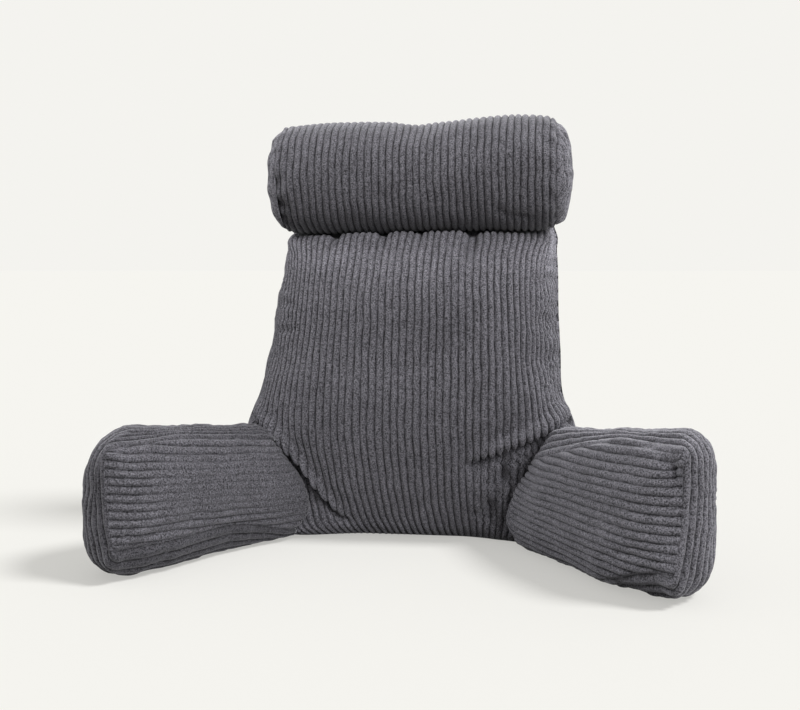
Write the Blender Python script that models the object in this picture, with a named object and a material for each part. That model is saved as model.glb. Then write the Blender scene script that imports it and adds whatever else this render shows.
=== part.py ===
"""Reading pillow with arms: a filled back cushion, two filled arms and a neck roll.

Metres, +Z up. While it is modelled, Y = 0 is the plane of the back cushion's upper side seams,
the arms reach towards -Y and X = 0 is the middle. At the end the pillow is centred on its footprint.
"""
import math
from collections import namedtuple

import bmesh
import bpy

GAP = 0.0003            # clearance between touching pieces
CLOTH = 0.002           # thickness of a strip or disc of cloth
CLOTH_BED = CLOTH + 1.5 * GAP   # how deep a strip or disc is let into its filling

CLOTH_COLOUR = (0.105, 0.102, 0.116, 1.0)
CLOTH_ROUGHNESS = 0.95

# ---- back cushion: level sections, bottom to top --------------------------------------------
# the flare is how much further forward the front runs beside the arms than at its middle
Level = namedtuple("Level", "height left right front rear seam squareness flare")
BACK_LEVELS = (
    Level(0.000, 0.178, 0.180, -0.072, 0.100, 0.006, 3.6, 0.024),
    Level(0.012, 0.195, 0.195, -0.094, 0.116, -0.003, 3.6, 0.021),
    Level(0.025, 0.203, 0.201, -0.1035, 0.122, -0.011, 3.5, 0.012),
    Level(0.040, 0.209, 0.206, -0.110, 0.126, -0.020, 3.4, 0.004),
    Level(0.085, 0.222, 0.212, -0.126, 0.128, -0.040, 3.3, 0.000),
    Level(0.135, 0.227, 0.211, -0.139, 0.124, -0.060, 3.5, 0.000),
    Level(0.190, 0.210, 0.190, -0.141, 0.115, -0.056, 3.2, 0.000),
    Level(0.245, 0.201, 0.188, -0.136, 0.104, -0.042, 2.8, 0.000),
    Level(0.295, 0.195, 0.185, -0.134, 0.092, -0.028, 2.6, 0.000),
    Level(0.340, 0.188, 0.184, -0.130, 0.081, -0.014, 2.5, 0.000),
    Level(0.375, 0.182, 0.183, -0.107, 0.072, -0.004, 2.5, 0.000),
    Level(0.405, 0.176, 0.179, -0.050, 0.064, 0.004, 2.4, 0.000),
    Level(0.430, 0.166, 0.170, -0.020, 0.056, 0.012, 2.4, 0.000),
    Level(0.447, 0.148, 0.152, 0.003, 0.047, 0.022, 2.3, 0.000),
    Level(0.455, 0.118, 0.122, 0.019, 0.038, 0.029, 2.2, 0.000),
)
FLARE_START = 0.060     # from the middle to where the flare begins
FLARE_WIDTH = 0.095
BACK_STEPS = 2          # rows made between one table row and the next
BACK_AROUND = 48

# ---- arms: layers across the arm, from the inner panel's middle to the outer panel's ----------
STRIP_WIDTH = 0.076
STRIP_STEP = 2 * GAP            # width of the step down from a seam to the strip's bed
ARM_CORNER = 0.311, -0.360      # end of the inner seam, seen from above
ARM_LENGTH = 0.400              # along the inner seam, root end inside the back cushion
ARM_SKEW = 0.42                 # how much shorter the arm gets per metre across it
LOW_CORNER = 0.056              # radius of the panels' lower end corners
INNER_NARROWING = 0.15          # how much of its inner fullness the arm loses by its root
OUTER_NARROWING = 0.55          # and of its outer fullness
STRAIGHT_STEPS = 9              # points along the underside and along the top
CORNER_STEPS = 5

Layer = namedtuple("Layer", "across inset lift")
INNER_PANEL = (
    Layer(-0.0605, 0.062, 0.040),
    Layer(-0.0600, 0.049, 0.027),
    Layer(-0.0570, 0.033, 0.016),
    Layer(-0.0510, 0.017, 0.009),
    Layer(-0.0430, 0.005, 0.006),
)
STRIP = (
    Layer(-0.0380, 0.000, 0.006),
    Layer(-0.0280, -0.008, 0.000),
    Layer(-0.0100, -0.013, 0.000),
    Layer(0.0100, -0.013, 0.000),
    Layer(0.0280, -0.008, 0.000),
    Layer(0.0380, 0.000, 0.006),
)
OUTER_PANEL = (
    Layer(0.0430, 0.005, 0.009),
    Layer(0.0520, 0.017, 0.014),
    Layer(0.0600, 0.033, 0.024),
    Layer(0.0650, 0.049, 0.036),
    Layer(0.0660, 0.062, 0.050),
)
Arm = namedtuple("Arm", "side mirror heading root_height end_height high_corner")
ARMS = (
    Arm("left", -1.0, -57.0, 0.126, 0.164, 0.060),
    Arm("right", 1.0, -54.5, 0.126, 0.175, 0.038),
)

# ---- neck roll: rings from left to right -----------------------------------------------------
Ring = namedtuple("Ring", "x radius height forward")
ROLL_RINGS = (
    Ring(-0.177, 0.0655, 0.4690, 0.050),
    Ring(-0.163, 0.0710, 0.4690, 0.050),
    Ring(-0.120, 0.0735, 0.4700, 0.050),
    Ring(-0.060, 0.0730, 0.4705, 0.050),
    Ring(0.000, 0.0715, 0.4705, 0.050),
    Ring(0.060, 0.0730, 0.4730, 0.050),
    Ring(0.120, 0.0745, 0.4745, 0.050),
    Ring(0.166, 0.0725, 0.4745, 0.050),
    Ring(0.181, 0.0655, 0.4730, 0.050),
)
ROLL_STEPS = 2
ROLL_AROUND = 40
END_DOME = 0.019        # how far an end disc stands out from its seam
DOME_RINGS = (0.0, 20.0, 42.0, 64.0)    # degrees from the seam towards the crown


def clear_scene():
    for item in list(bpy.data.objects):
        bpy.data.objects.remove(item)


def cloth_material(name, shade):
    material = bpy.data.materials.new(name)
    material.use_nodes = True
    shader = material.node_tree.nodes["Principled BSDF"]
    red, green, blue, alpha = CLOTH_COLOUR
    shader.inputs["Base Color"].default_value = (red * shade, green * shade, blue * shade, alpha)
    shader.inputs["Roughness"].default_value = CLOTH_ROUGHNESS
    shader.inputs["Metallic"].default_value = 0.0
    return material


def add_piece(name, mesh_data, shade=1.0):
    mesh = bpy.data.meshes.new(name)
    bmesh.ops.recalc_face_normals(mesh_data, faces=mesh_data.faces)
    mesh_data.to_mesh(mesh)
    mesh_data.free()
    piece = bpy.data.objects.new(name, mesh)
    bpy.context.collection.objects.link(piece)
    mesh.materials.append(cloth_material(name, shade))
    mesh.shade_smooth()
    return piece


def curve_through(rows, steps):
    """Rows of numbers with smooth rows set between them (Catmull-Rom)."""
    result = []
    last = len(rows) - 1
    for index in range(last):
        before = rows[max(index - 1, 0)]
        here = rows[index]
        there = rows[index + 1]
        after = rows[min(index + 2, last)]
        for step in range(steps):
            t = step / steps
            result.append([
                0.5 * (2 * b + (c - a) * t + (2 * a - 5 * b + 4 * c - d) * t * t
                       + (3 * b - a - 3 * c + d) * t ** 3)
                for a, b, c, d in zip(before, here, there, after)
            ])
    result.append(list(rows[last]))
    return result


def loft(loops, closed_ends=True):
    """A skin over closed loops of equal length, with a fan at each end."""
    shell = bmesh.new()
    rows = [[shell.verts.new(point) for point in loop] for loop in loops]
    count = len(loops[0])
    for low, high in zip(rows, rows[1:]):
        for index in range(count):
            after = (index + 1) % count
            shell.faces.new((low[index], low[after], high[after], high[index]))
    if closed_ends:
        for row in (rows[0], rows[-1]):
            close_with_fan(shell, row)
    return shell


def close_with_fan(shell, row):
    count = len(row)
    middle = [sum(vertex.co[axis] for vertex in row) / count for axis in range(3)]
    hub = shell.verts.new(middle)
    for index in range(count):
        shell.faces.new((row[index], row[(index + 1) % count], hub))


def rounded(value, squareness):
    return math.copysign(abs(value) ** (2.0 / squareness), value)


def back_loop(row):
    height, left, right, front, rear, seam, squareness, flare = row
    loop = []
    for step in range(BACK_AROUND):
        turn = math.tau * step / BACK_AROUND
        sideways = rounded(math.cos(turn), squareness)
        deep = rounded(math.sin(turn), squareness)
        x = sideways * (right if sideways > 0 else left)
        y = seam + deep * ((rear - seam) if deep > 0 else (seam - front))
        beside = min(max((abs(x) - FLARE_START) / FLARE_WIDTH, 0.0), 1.1)
        y -= flare * max(-deep, 0.0) * beside ** 1.6
        loop.append((x, y, height))
    return loop


def build_back_cushion(roll_pieces):
    """The cushion, with the saddle that the roll presses into its top."""
    rows = curve_through(BACK_LEVELS, BACK_STEPS)
    cushion = add_piece("back_cushion", loft([back_loop(row) for row in rows]))
    for piece in roll_pieces:
        cut_clear(cushion, piece)
    return cushion


def arm_outline(arm, layer):
    """One layer's outline along and up the arm: underside, end, top, then the root."""
    end = ARM_LENGTH - ARM_SKEW * (layer.across + STRIP_WIDTH / 2) - layer.inset
    height = arm.end_height - layer.inset - layer.lift
    low_radius = min(LOW_CORNER - 0.5 * layer.inset, 0.5 * height)
    high_radius = min(arm.high_corner - 0.5 * layer.inset, 0.45 * height)

    def top(along):
        return arm.root_height + (arm.end_height - arm.root_height) * along / ARM_LENGTH - layer.inset

    low_start = end - low_radius
    high_end = end - high_radius
    outline = [(low_start * step / STRAIGHT_STEPS, layer.lift) for step in range(STRAIGHT_STEPS)]
    for step in range(CORNER_STEPS + 1):
        turn = math.radians(-90.0 + 90.0 * step / CORNER_STEPS)
        outline.append((low_start + low_radius * math.cos(turn),
                        layer.lift + low_radius * (1.0 + math.sin(turn))))
    crown = top(high_end) - high_radius
    for step in range(CORNER_STEPS + 1):
        turn = math.radians(90.0 * step / CORNER_STEPS)
        outline.append((high_end + high_radius * math.cos(turn), crown + high_radius * math.sin(turn)))
    for step in range(STRAIGHT_STEPS - 1, -1, -1):
        along = high_end * step / STRAIGHT_STEPS
        outline.append((along, top(along)))
    return outline


def arm_place(arm, along, across, height):
    """From along, across and up the arm to the pillow's own axes."""
    heading = math.radians(arm.heading)
    ahead = (math.cos(heading), math.sin(heading))
    outward = (-ahead[1], ahead[0])
    to_corner = along - ARM_LENGTH
    narrowing = INNER_NARROWING if across < 0 else OUTER_NARROWING
    fullness = 1.0 - narrowing * (to_corner / ARM_LENGTH) ** 2
    aside = across * fullness + STRIP_WIDTH / 2
    x = ARM_CORNER[0] + to_corner * ahead[0] + aside * outward[0]
    y = ARM_CORNER[1] + to_corner * ahead[1] + aside * outward[1]
    return (arm.mirror * x, y, height)


def layer_loop(arm, layer):
    return [arm_place(arm, along, layer.across, up) for along, up in arm_outline(arm, layer)]


def sunk(layer, depth):
    return Layer(layer.across, layer.inset + depth, layer.lift + depth)


def between(layer, neighbour, distance):
    """The layer a distance across from one layer towards its neighbour."""
    share = distance / abs(neighbour.across - layer.across)
    return Layer(*[a + (b - a) * share for a, b in zip(layer, neighbour)])


def strip_layers(margin):
    """The strip's layers, with its two edges moved in from the seams by a margin."""
    first = between(STRIP[0], STRIP[1], margin)
    last = between(STRIP[-1], STRIP[-2], margin)
    return [first, *STRIP[1:-1], last]


def build_arm(arm, back):
    bed = [sunk(layer, CLOTH_BED) for layer in strip_layers(STRIP_STEP)]
    layers = (*INNER_PANEL, STRIP[0], *bed, STRIP[-1], *OUTER_PANEL)
    piece = add_piece("arm_" + arm.side, loft([layer_loop(arm, layer) for layer in layers]))
    cut_clear(piece, back)
    return piece


def build_arm_strip(arm, back):
    """The strip's two faces, joined along both seams and across both ends."""
    layers = strip_layers(2 * STRIP_STEP)
    outside = [layer_loop(arm, layer) for layer in layers]
    inside = [layer_loop(arm, sunk(layer, CLOTH)) for layer in layers]
    ring = outside + inside[::-1]
    loops = [[row[index] for row in ring] for index in range(len(outside[0]))]
    band = loft(loops, closed_ends=False)
    band.verts.ensure_lookup_table()
    across = len(ring)
    for first in (0, (len(loops) - 1) * across):
        for index in range(len(layers) - 1):
            corners = (index, index + 1, across - 2 - index, across - 1 - index)
            band.faces.new([band.verts[first + corner] for corner in corners])
    piece = add_piece("arm_strip_" + arm.side, band, 1.05)
    cut_clear(piece, back)
    return piece


def roll_loop(row, scale=1.0, shift=0.0):
    x, radius, height, forward = row
    loop = []
    for step in range(ROLL_AROUND):
        turn = math.tau * step / ROLL_AROUND
        loop.append((x + shift,
                     -forward + radius * scale * math.cos(turn),
                     height + radius * scale * math.sin(turn)))
    return loop


def dome_loops(row, way, depth):
    """Rings of a roll's end from the seam towards the crown, sunk by a depth."""
    loops = []
    for degrees in DOME_RINGS:
        turn = math.radians(degrees)
        scale = math.cos(turn) * (1.0 - depth / row[1])
        loops.append(roll_loop(row, scale, way * (END_DOME * math.sin(turn) - depth)))
    return loops


def build_neck_roll():
    rows = curve_through(ROLL_RINGS, ROLL_STEPS)
    left = dome_loops(rows[0], -1.0, CLOTH_BED)
    right = dome_loops(rows[-1], 1.0, CLOTH_BED)
    middle = [roll_loop(row) for row in rows]
    return add_piece("neck_roll", loft(left[::-1] + middle + right))


def build_roll_end(side, way):
    """A domed disc: its outer face, and its inner face one cloth thickness below."""
    row = ROLL_RINGS[0] if way < 0 else ROLL_RINGS[-1]
    edge = dome_loops(row, way, 0.0)
    underneath = dome_loops(row, way, CLOTH)
    return add_piece("roll_end_" + side, loft(edge[::-1] + underneath), 1.05)


def cut_clear(piece, neighbour):
    """Take the neighbour's volume, grown by the gap, out of a piece."""
    cutter = neighbour.copy()
    cutter.data = neighbour.data.copy()
    bpy.context.collection.objects.link(cutter)
    grown = bmesh.new()
    grown.from_mesh(cutter.data)
    grown.normal_update()
    for vertex in grown.verts:
        vertex.co += vertex.normal * GAP
    grown.to_mesh(cutter.data)
    grown.free()
    cut = piece.modifiers.new("clear of neighbour", "BOOLEAN")
    cut.operation = "DIFFERENCE"
    cut.solver = "EXACT"
    cut.object = cutter
    bpy.context.view_layer.update()
    shape = bpy.data.meshes.new_from_object(piece.evaluated_get(bpy.context.evaluated_depsgraph_get()))
    piece.modifiers.clear()
    piece.data = shape
    keep_main_body(shape)
    shape.shade_smooth()
    bpy.data.objects.remove(cutter)


def keep_main_body(mesh):
    """Delete the crumbs that a cut leaves beside the main body."""
    shell = bmesh.new()
    shell.from_mesh(mesh)
    left = set(shell.verts)
    bodies = []
    while left:
        body = set()
        edge_of_growth = [left.pop()]
        while edge_of_growth:
            vertex = edge_of_growth.pop()
            body.add(vertex)
            for edge in vertex.link_edges:
                other = edge.other_vert(vertex)
                if other in left:
                    left.remove(other)
                    edge_of_growth.append(other)
        bodies.append(body)
    main = max(bodies, key=len)
    crumbs = [vertex for body in bodies if body is not main for vertex in body]
    bmesh.ops.delete(shell, geom=crumbs, context="VERTS")
    shell.to_mesh(mesh)
    shell.free()


def centre_on_footprint(pieces):
    """Put the middle of the footprint at the origin and the underside at zero."""
    points = [vertex.co for piece in pieces for vertex in piece.data.vertices]
    lowest = [min(point[axis] for point in points) for axis in range(3)]
    highest = [max(point[axis] for point in points) for axis in range(3)]
    shift = ((lowest[0] + highest[0]) / 2, (lowest[1] + highest[1]) / 2, lowest[2])
    for piece in pieces:
        for vertex in piece.data.vertices:
            for axis in range(3):
                vertex.co[axis] -= shift[axis]


def main():
    clear_scene()
    roll_pieces = [build_neck_roll(), build_roll_end("left", -1.0), build_roll_end("right", 1.0)]
    back = build_back_cushion(roll_pieces)
    pieces = [*roll_pieces, back]
    for arm in ARMS:
        pieces.append(build_arm(arm, back))
        pieces.append(build_arm_strip(arm, back))
    centre_on_footprint(pieces)


main()
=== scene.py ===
import math
from collections import namedtuple

import bmesh
import bpy
import numpy as np
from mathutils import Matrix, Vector
from mathutils.bvhtree import BVHTree


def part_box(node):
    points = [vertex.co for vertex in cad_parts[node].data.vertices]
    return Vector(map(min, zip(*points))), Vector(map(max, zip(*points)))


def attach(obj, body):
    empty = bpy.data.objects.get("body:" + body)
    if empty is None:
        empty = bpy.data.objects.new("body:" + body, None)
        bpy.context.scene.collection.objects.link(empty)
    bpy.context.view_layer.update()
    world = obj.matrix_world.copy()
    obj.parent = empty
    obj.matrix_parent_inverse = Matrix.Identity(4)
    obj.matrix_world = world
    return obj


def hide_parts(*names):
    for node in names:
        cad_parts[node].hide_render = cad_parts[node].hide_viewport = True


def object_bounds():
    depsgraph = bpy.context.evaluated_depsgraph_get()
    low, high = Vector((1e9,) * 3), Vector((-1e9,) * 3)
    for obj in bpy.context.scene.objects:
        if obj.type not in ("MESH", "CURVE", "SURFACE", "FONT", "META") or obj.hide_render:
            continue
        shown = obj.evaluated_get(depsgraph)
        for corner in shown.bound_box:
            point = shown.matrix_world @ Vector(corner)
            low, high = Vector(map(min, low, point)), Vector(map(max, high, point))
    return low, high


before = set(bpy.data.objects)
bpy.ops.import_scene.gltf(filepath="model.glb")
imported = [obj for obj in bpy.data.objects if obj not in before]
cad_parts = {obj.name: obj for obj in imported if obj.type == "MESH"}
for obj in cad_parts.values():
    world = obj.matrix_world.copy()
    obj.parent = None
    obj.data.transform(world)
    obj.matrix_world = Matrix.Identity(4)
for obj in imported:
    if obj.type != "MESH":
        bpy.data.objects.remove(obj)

CAD_LOW, CAD_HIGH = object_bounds()

# The tables below use the pillow's sewing frame: Y = 0 is the plane of the upper side seams.
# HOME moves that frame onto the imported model.
ROLL_LOW, ROLL_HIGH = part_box("neck_roll")
_, DISC_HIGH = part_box("roll_end_right")
DISC_REACH = 0.1981      # from the middle of the back to the crown of the roll's right end
ROLL_FORWARD = 0.050     # how far the roll's axis is in front of the side seams
HOME = np.array([DISC_HIGH.x - DISC_REACH, (ROLL_LOW.y + ROLL_HIGH.y) / 2 + ROLL_FORWARD, CAD_LOW.z])

# ---- camera and light -------------------------------------------------------------------------
CAMERA_AT = (0.1797, -1.4945, 0.352)
CAMERA_TURN = (85.5, 0.0, 8.0)
CAMERA_LENS = 49.5
PALE = (0.905, 0.897, 0.863, 1.0)   # the studio's floor and walls
WORLD_LIGHT = 0.42       # how strongly the pale surroundings light the pillow, where 1 is how they look
FLOOR_LIGHT = 0.04       # the same for the floor's own glow
FLOOR_GLOW = 0.491       # and how the floor's glow looks
FLOOR_SIZE = 180.0
FLOOR_BEHIND = 70.0      # the floor's middle behind the pillow
SUNS = (  # name, degrees round from the front to the right, degrees up, strength, softness, lit
    ("front_right", 36, 26, 2.28, 26, "pillow"),
    ("left", -80, 40, 2.2, 26, "pillow"),
    ("right", 100, 50, 2.1, 30, "pillow"),
    ("behind_right", 150, 42, 2.9, 30, "pillow"),
    ("on_the_floor", 80, 50, 2.35, 16, "floor"),
)

# ---- corduroy ---------------------------------------------------------------------------------
WALE_HEIGHT = 0.0033
WALE_SINK = 0.0023       # how far the grooves lie below the smooth skin
SEAM_SINK = 0.0006       # how far a seam does
SEAM_BITE = 0.0022       # how deep the stitches of the back and the roll pull their seams in
SEAM_BITE_REACH = 0.0035
ACROSS_WALE = (0.0, 0.07, 0.20, 0.40, 0.60, 0.80, 0.93)   # where each wale has its lines of points
ACROSS_WALE_PLAIN = (0.0, 0.13, 0.38, 0.62, 0.87)
ROOT_CLEAR = 0.0021      # between the back and the arms
CLOTH = 0.0021
CLOTH_BED = 0.0026       # how deep a strip or disc of cloth is let into its filling
CLOTH_COLOUR = (0.105, 0.102, 0.116)
PILE_SCALE = 560.0       # how fine the speckle of the pile is
NAP_SCALE = 26.0         # and the slow changes of its nap
BRIDGE_SCALE = 110.0     # and the places where the pile closes over a groove
PAINTED_GROOVE_SHADE = 0.16      # painted shade: the colour in a groove as a share of the colour on the crest next to it
SPECKLE_SHADES = (0.18, 1.82)
NAP_SHADES = (0.90, 1.10)
PAINTED_LIGHT = {  # cloth: height, and the shade its colour is multiplied by from there up: painted light where above 1, painted shade where below 1
    # back: painted light, much lighter towards its top just under the roll, and painted shade, a little
    # darker low down
    "back": ((0.03, 1.00), (0.15, 0.93), (0.27, 0.97), (0.33, 1.12), (0.375, 1.50)),
    # roll: painted shade, much darker underneath where it lies on the back and a little darker on top
    "roll": ((0.405, 0.60), (0.440, 1.00), (0.500, 0.98), (0.535, 0.86)),
    # roll ends: painted light, lighter all over
    "roll_end": ((0.0, 1.25),),
    # left arm: painted shade, darker all over than the right arm
    "left_arm": ((0.0, 0.89),),
    "right_arm": ((0.0, 1.00),),
    # left strip: painted shade, much darker low down and a little less so near its top
    "left_strip": ((0.120, 0.56), (0.158, 0.72)),
    "right_strip": ((0.0, 1.00),),
}

# ---- filling ----------------------------------------------------------------------------------
FILLING_FRAMES = 20
FILLING = {
    "quality": 6,
    "mass": 0.25,
    "tension_stiffness": 12.0,
    "compression_stiffness": 12.0,
    "shear_stiffness": 4.0,
    "bending_stiffness": 0.3,
    "air_damping": 2.0,
    "use_pressure": True,
    "uniform_pressure_force": 4.0,
    "vertex_group_mass": "sewn",
}
FULLNESS = {  # inset, most, slack, rounds of evening out, as inflate() says
    "back": (0.006, 0.009, 0.022, 1),
    "arm": (0.003, 0.006, 0.014, 2),
    "roll": (0.0015, 0.004, 0.012, 1),
}
BACK_CAGE = (44, 41)     # rows and columns of the cloth simulation's cages
ARM_CAGE = (46, 17)
ARM_CAGE_STEPS = 9       # and its steps across an arm
ROLL_CAGE = (49, 25)

# ---- back cushion -----------------------------------------------------------------------------
BACK_LEVELS = (  # height, left, right, front, rear, seam, squareness, flare
    (0.0000, 0.178, 0.180, -0.0720, 0.1000, 0.0060, 4.6, 0.040),
    (0.0120, 0.195, 0.195, -0.0940, 0.1160, -0.003, 4.4, 0.034),
    (0.0250, 0.203, 0.201, -0.1035, 0.1220, -0.011, 4.1, 0.018),
    (0.0400, 0.209, 0.206, -0.1100, 0.1260, -0.020, 3.9, 0.006),
    (0.0850, 0.223, 0.212, -0.1260, 0.1280, -0.040, 3.4, 0.000),
    (0.1350, 0.231, 0.212, -0.1390, 0.1240, -0.060, 3.5, 0.000),
    (0.1900, 0.212, 0.1915, -0.1410, 0.1150, -0.056, 3.2, 0.000),
    (0.2450, 0.201, 0.188, -0.1360, 0.1040, -0.042, 2.8, 0.000),
    (0.2950, 0.195, 0.185, -0.1340, 0.0920, -0.028, 2.6, 0.000),
    (0.3400, 0.188, 0.184, -0.1300, 0.0810, -0.014, 2.5, 0.000),
    (0.3620, 0.186, 0.183, -0.1210, 0.0750, -0.008, 2.5, 0.000),
    (0.3780, 0.185, 0.182, -0.1050, 0.0710, -0.003, 2.5, 0.000),
    (0.3920, 0.183, 0.183, -0.0790, 0.0670, 0.001, 2.5, 0.000),
    (0.4050, 0.176, 0.179, -0.0500, 0.0640, 0.0040, 2.4, 0.000),
    (0.4300, 0.166, 0.170, -0.0200, 0.0560, 0.0120, 2.4, 0.000),
    (0.4470, 0.148, 0.152, 0.0030, 0.0470, 0.0220, 2.3, 0.000),
    (0.4550, 0.118, 0.122, 0.0190, 0.0380, 0.0290, 2.2, 0.000),
    (0.4575, 0.112, 0.116, 0.0255, 0.0335, 0.0295, 2.1, 0.000),
    (0.4585, 0.108, 0.112, 0.0288, 0.0302, 0.0295, 2.0, 0.000),
)
BACK_ROWS = 220
BACK_LAST = 240          # the last column of the back's skins
UNDER_ROLL = 0.0070      # the back's fullness just under the roll
UNDER_ROLL_AT = 0.015    # how far from the roll it is fullest
UNDER_ROLL_REACH = 0.013
BASE_MIDDLE = np.array([0.0, 0.015, 0.0])
TOP_MIDDLE = 0.002, 0.0295
FRONT_WALES = (  # height, middle wale from the middle of the front, pitch
    (0.000, -0.0080, 0.00830),
    (0.030, -0.0150, 0.00865),
    (0.080, -0.0205, 0.00905),
    (0.130, -0.0230, 0.00930),
    (0.190, -0.0230, 0.00925),
    (0.260, -0.0220, 0.00910),
    (0.330, -0.0210, 0.00900),
    (0.400, -0.0195, 0.00890),
    (0.460, -0.0180, 0.00885),
)
REAR_PITCH = 0.0092
FOLD_ROWS_BELOW = 30
FOLD_ROWS_ABOVE = 100
# the line on the front along which the arms pull it in: left crease, plain middle, right fold
FOLDS = (  # x, height, depth of the crease, lip above it, overhang
    (-0.250, 0.172, 0.0000, 0.0000, 0.000),
    (-0.215, 0.155, 0.0060, 0.0010, 0.001),
    (-0.195, 0.141, 0.0160, 0.0045, 0.005),
    (-0.179, 0.130, 0.0180, 0.0085, 0.009),
    (-0.166, 0.118, 0.0180, 0.0090, 0.009),
    (-0.152, 0.104, 0.0180, 0.0090, 0.009),
    (-0.140, 0.089, 0.0180, 0.0090, 0.009),
    (-0.128, 0.071, 0.0180, 0.0090, 0.009),
    (-0.117, 0.057, 0.0170, 0.0080, 0.008),
    (-0.108, 0.044, 0.0140, 0.0060, 0.006),
    (-0.096, 0.031, 0.0080, 0.0030, 0.003),
    (-0.080, 0.024, 0.0020, 0.0000, 0.000),
    (-0.060, 0.024, 0.0000, 0.0000, 0.000),
    (-0.030, 0.036, 0.0000, 0.0000, 0.000),
    (0.030, 0.074, 0.0000, 0.0000, 0.000),
    (0.065, 0.098, 0.0000, 0.0000, 0.000),
    (0.078, 0.103, 0.0070, 0.0025, 0.004),
    (0.090, 0.108, 0.0140, 0.0060, 0.007),
    (0.108, 0.115, 0.0175, 0.0080, 0.009),
    (0.125, 0.121, 0.0180, 0.0085, 0.009),
    (0.145, 0.129, 0.0180, 0.0085, 0.009),
    (0.163, 0.137, 0.0180, 0.0085, 0.009),
    (0.178, 0.145, 0.0180, 0.0080, 0.009),
    (0.194, 0.152, 0.0140, 0.0035, 0.004),
    (0.210, 0.157, 0.0030, 0.0005, 0.001),
    (0.250, 0.165, 0.0000, 0.0000, 0.000),
)
DEEPEST_FOLD = 0.018
FOLD_DEPTH = 1.25        # how much deeper the folds are where the cloth is tucked in
FOLD_ABOVE = 0.0072      # how wide a fold is above its line
FOLD_BELOW = 0.0105      # and below it
LIP_AT = 0.015           # how far above a fold its lip is
LIP_REACH = 0.010
DROOP_AT = 0.009         # how far above a fold the wales hang over it
DROOP_REACH = 0.0050
# gathers under the roll, dents at the sides and creases by the right arm
HOLLOWS = (  # x, height, wide, tall, deep
    (-0.1050, 0.390, 0.007, 0.012, 0.0090),
    (-0.0410, 0.390, 0.007, 0.012, 0.0080),
    (0.0060, 0.391, 0.006, 0.010, 0.0050),
    (0.0740, 0.387, 0.009, 0.017, 0.0130),
    (-0.1600, 0.304, 0.013, 0.006, 0.0024),
    (-0.1620, 0.287, 0.012, 0.005, 0.0020),
    (-0.1640, 0.272, 0.014, 0.006, 0.0028),
    (0.1760, 0.356, 0.014, 0.006, 0.0035),
    (0.1750, 0.340, 0.018, 0.006, 0.0035),
    (0.1760, 0.286, 0.016, 0.006, 0.0030),
    (0.1820, 0.239, 0.016, 0.006, 0.0030),
    (0.1820, 0.225, 0.014, 0.005, 0.0025),
    (0.1190, 0.087, 0.006, 0.012, 0.0110),
    (0.1110, 0.073, 0.005, 0.011, 0.0110),
    (0.1040, 0.059, 0.005, 0.011, 0.0100),
    (0.0980, 0.043, 0.005, 0.013, 0.0090),
)
CRUMPLES = (  # x, height, wide, tall, how far sideways, wave length, depth
    (0.107, 0.074, 0.018, 0.036, 0.0022, 0.012, 0.0052),
    (0.094, 0.040, 0.018, 0.020, 0.0016, 0.011, 0.0040),
    (0.122, 0.090, 0.013, 0.026, 0.0030, 0.010, 0.0050),
    (0.146, 0.112, 0.016, 0.016, 0.0028, 0.009, 0.0045),
    (0.135, 0.105, 0.022, 0.014, 0.0014, 0.012, 0.0025),
    (-0.152, 0.062, 0.020, 0.030, 0.0014, 0.011, 0.0025),
    (-0.176, 0.290, 0.018, 0.060, 0.0010, 0.016, 0.0012),
    (0.180, 0.310, 0.022, 0.070, 0.0014, 0.015, 0.0020),
    (0.178, 0.215, 0.020, 0.040, 0.0012, 0.013, 0.0020),
)

# ---- arms -------------------------------------------------------------------------------------
STRIP_WIDTH = 0.076
HALF_STRIP = STRIP_WIDTH / 2
STRIP_MARGIN = 0.0006    # from a seam to the strip's first groove
STRIP_WALES = 8
STRIP_CROWN = 0.0132
ARM_CORNER = 0.311, -0.360   # end of the inner seam, seen from above
ARM_LENGTH = 0.400
INNER_NARROWING = 0.15   # how much of its inner fullness the arm loses by its root
OUTER_NARROWING = 0.55   # and of its outer fullness
LOW_RADIUS = 0.048       # of the strip's lower corner, in the middle
PANEL_CROWN = 0.0225
PANEL_REACH = 0.062      # from its seam to where a panel is full
ROOT_REACH = 0.026       # how far from the back the arms are drawn in
INNER_PULL = 0.50        # how much more that is on the inner side
ROOT_TUCK = 0.70         # how much further a panel is drawn in between its seams, as a share of that
ARM_ROWS = 100
BED_STEPS = 5
ROOT_STEPS = 60          # points tried on the way from an arm's end to the back
STRIP_ROWS = 190
ARM_MIDDLE = 0.070       # how high the arms' middle line is
PANEL_BITE = 0.0014      # how deep the stitches pull an arm's seams in
PANEL_BITE_REACH = 0.0022
ROOT_BITE = 0.0035       # and the seam where it meets the back
ROOT_BITE_REACH = 0.005
# the strip's path: underside, low corner, end, high corner, top
PATH_STOPS = (0.0, 0.40, 0.47, 0.56, 0.63, 1.0)
PATH = np.linspace(0.0, 1.0, 401)
ACROSS = np.linspace(-HALF_STRIP, HALF_STRIP, 41)
PANEL_ALONG = 1.0 - (1.0 - np.linspace(0.0, 1.0, 161)) ** 1.5   # closer together at the end
PANEL_UP = np.linspace(0.0, 1.0, 81)
Arm = namedtuple("Arm", "side mirror heading length skew root_height root_drop end_height high_corner "
                        "seam_low seam_from seam_full seam_corner flattened belly root_pull")
ARMS = (
    Arm("left", -1.0, -57.0, 0.394, 0.29, 0.127, 0.004, 0.164, 0.064,
        0.042, 0.15, 0.60, 0.008, 0.72, 0.021, 0.005),
    Arm("right", 1.0, -54.5, 0.400, 0.42, 0.126, 0.028, 0.175, 0.037,
        0.037, 0.68, 0.97, 0.008, 0.10, 0.019, 0.011),
)
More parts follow.
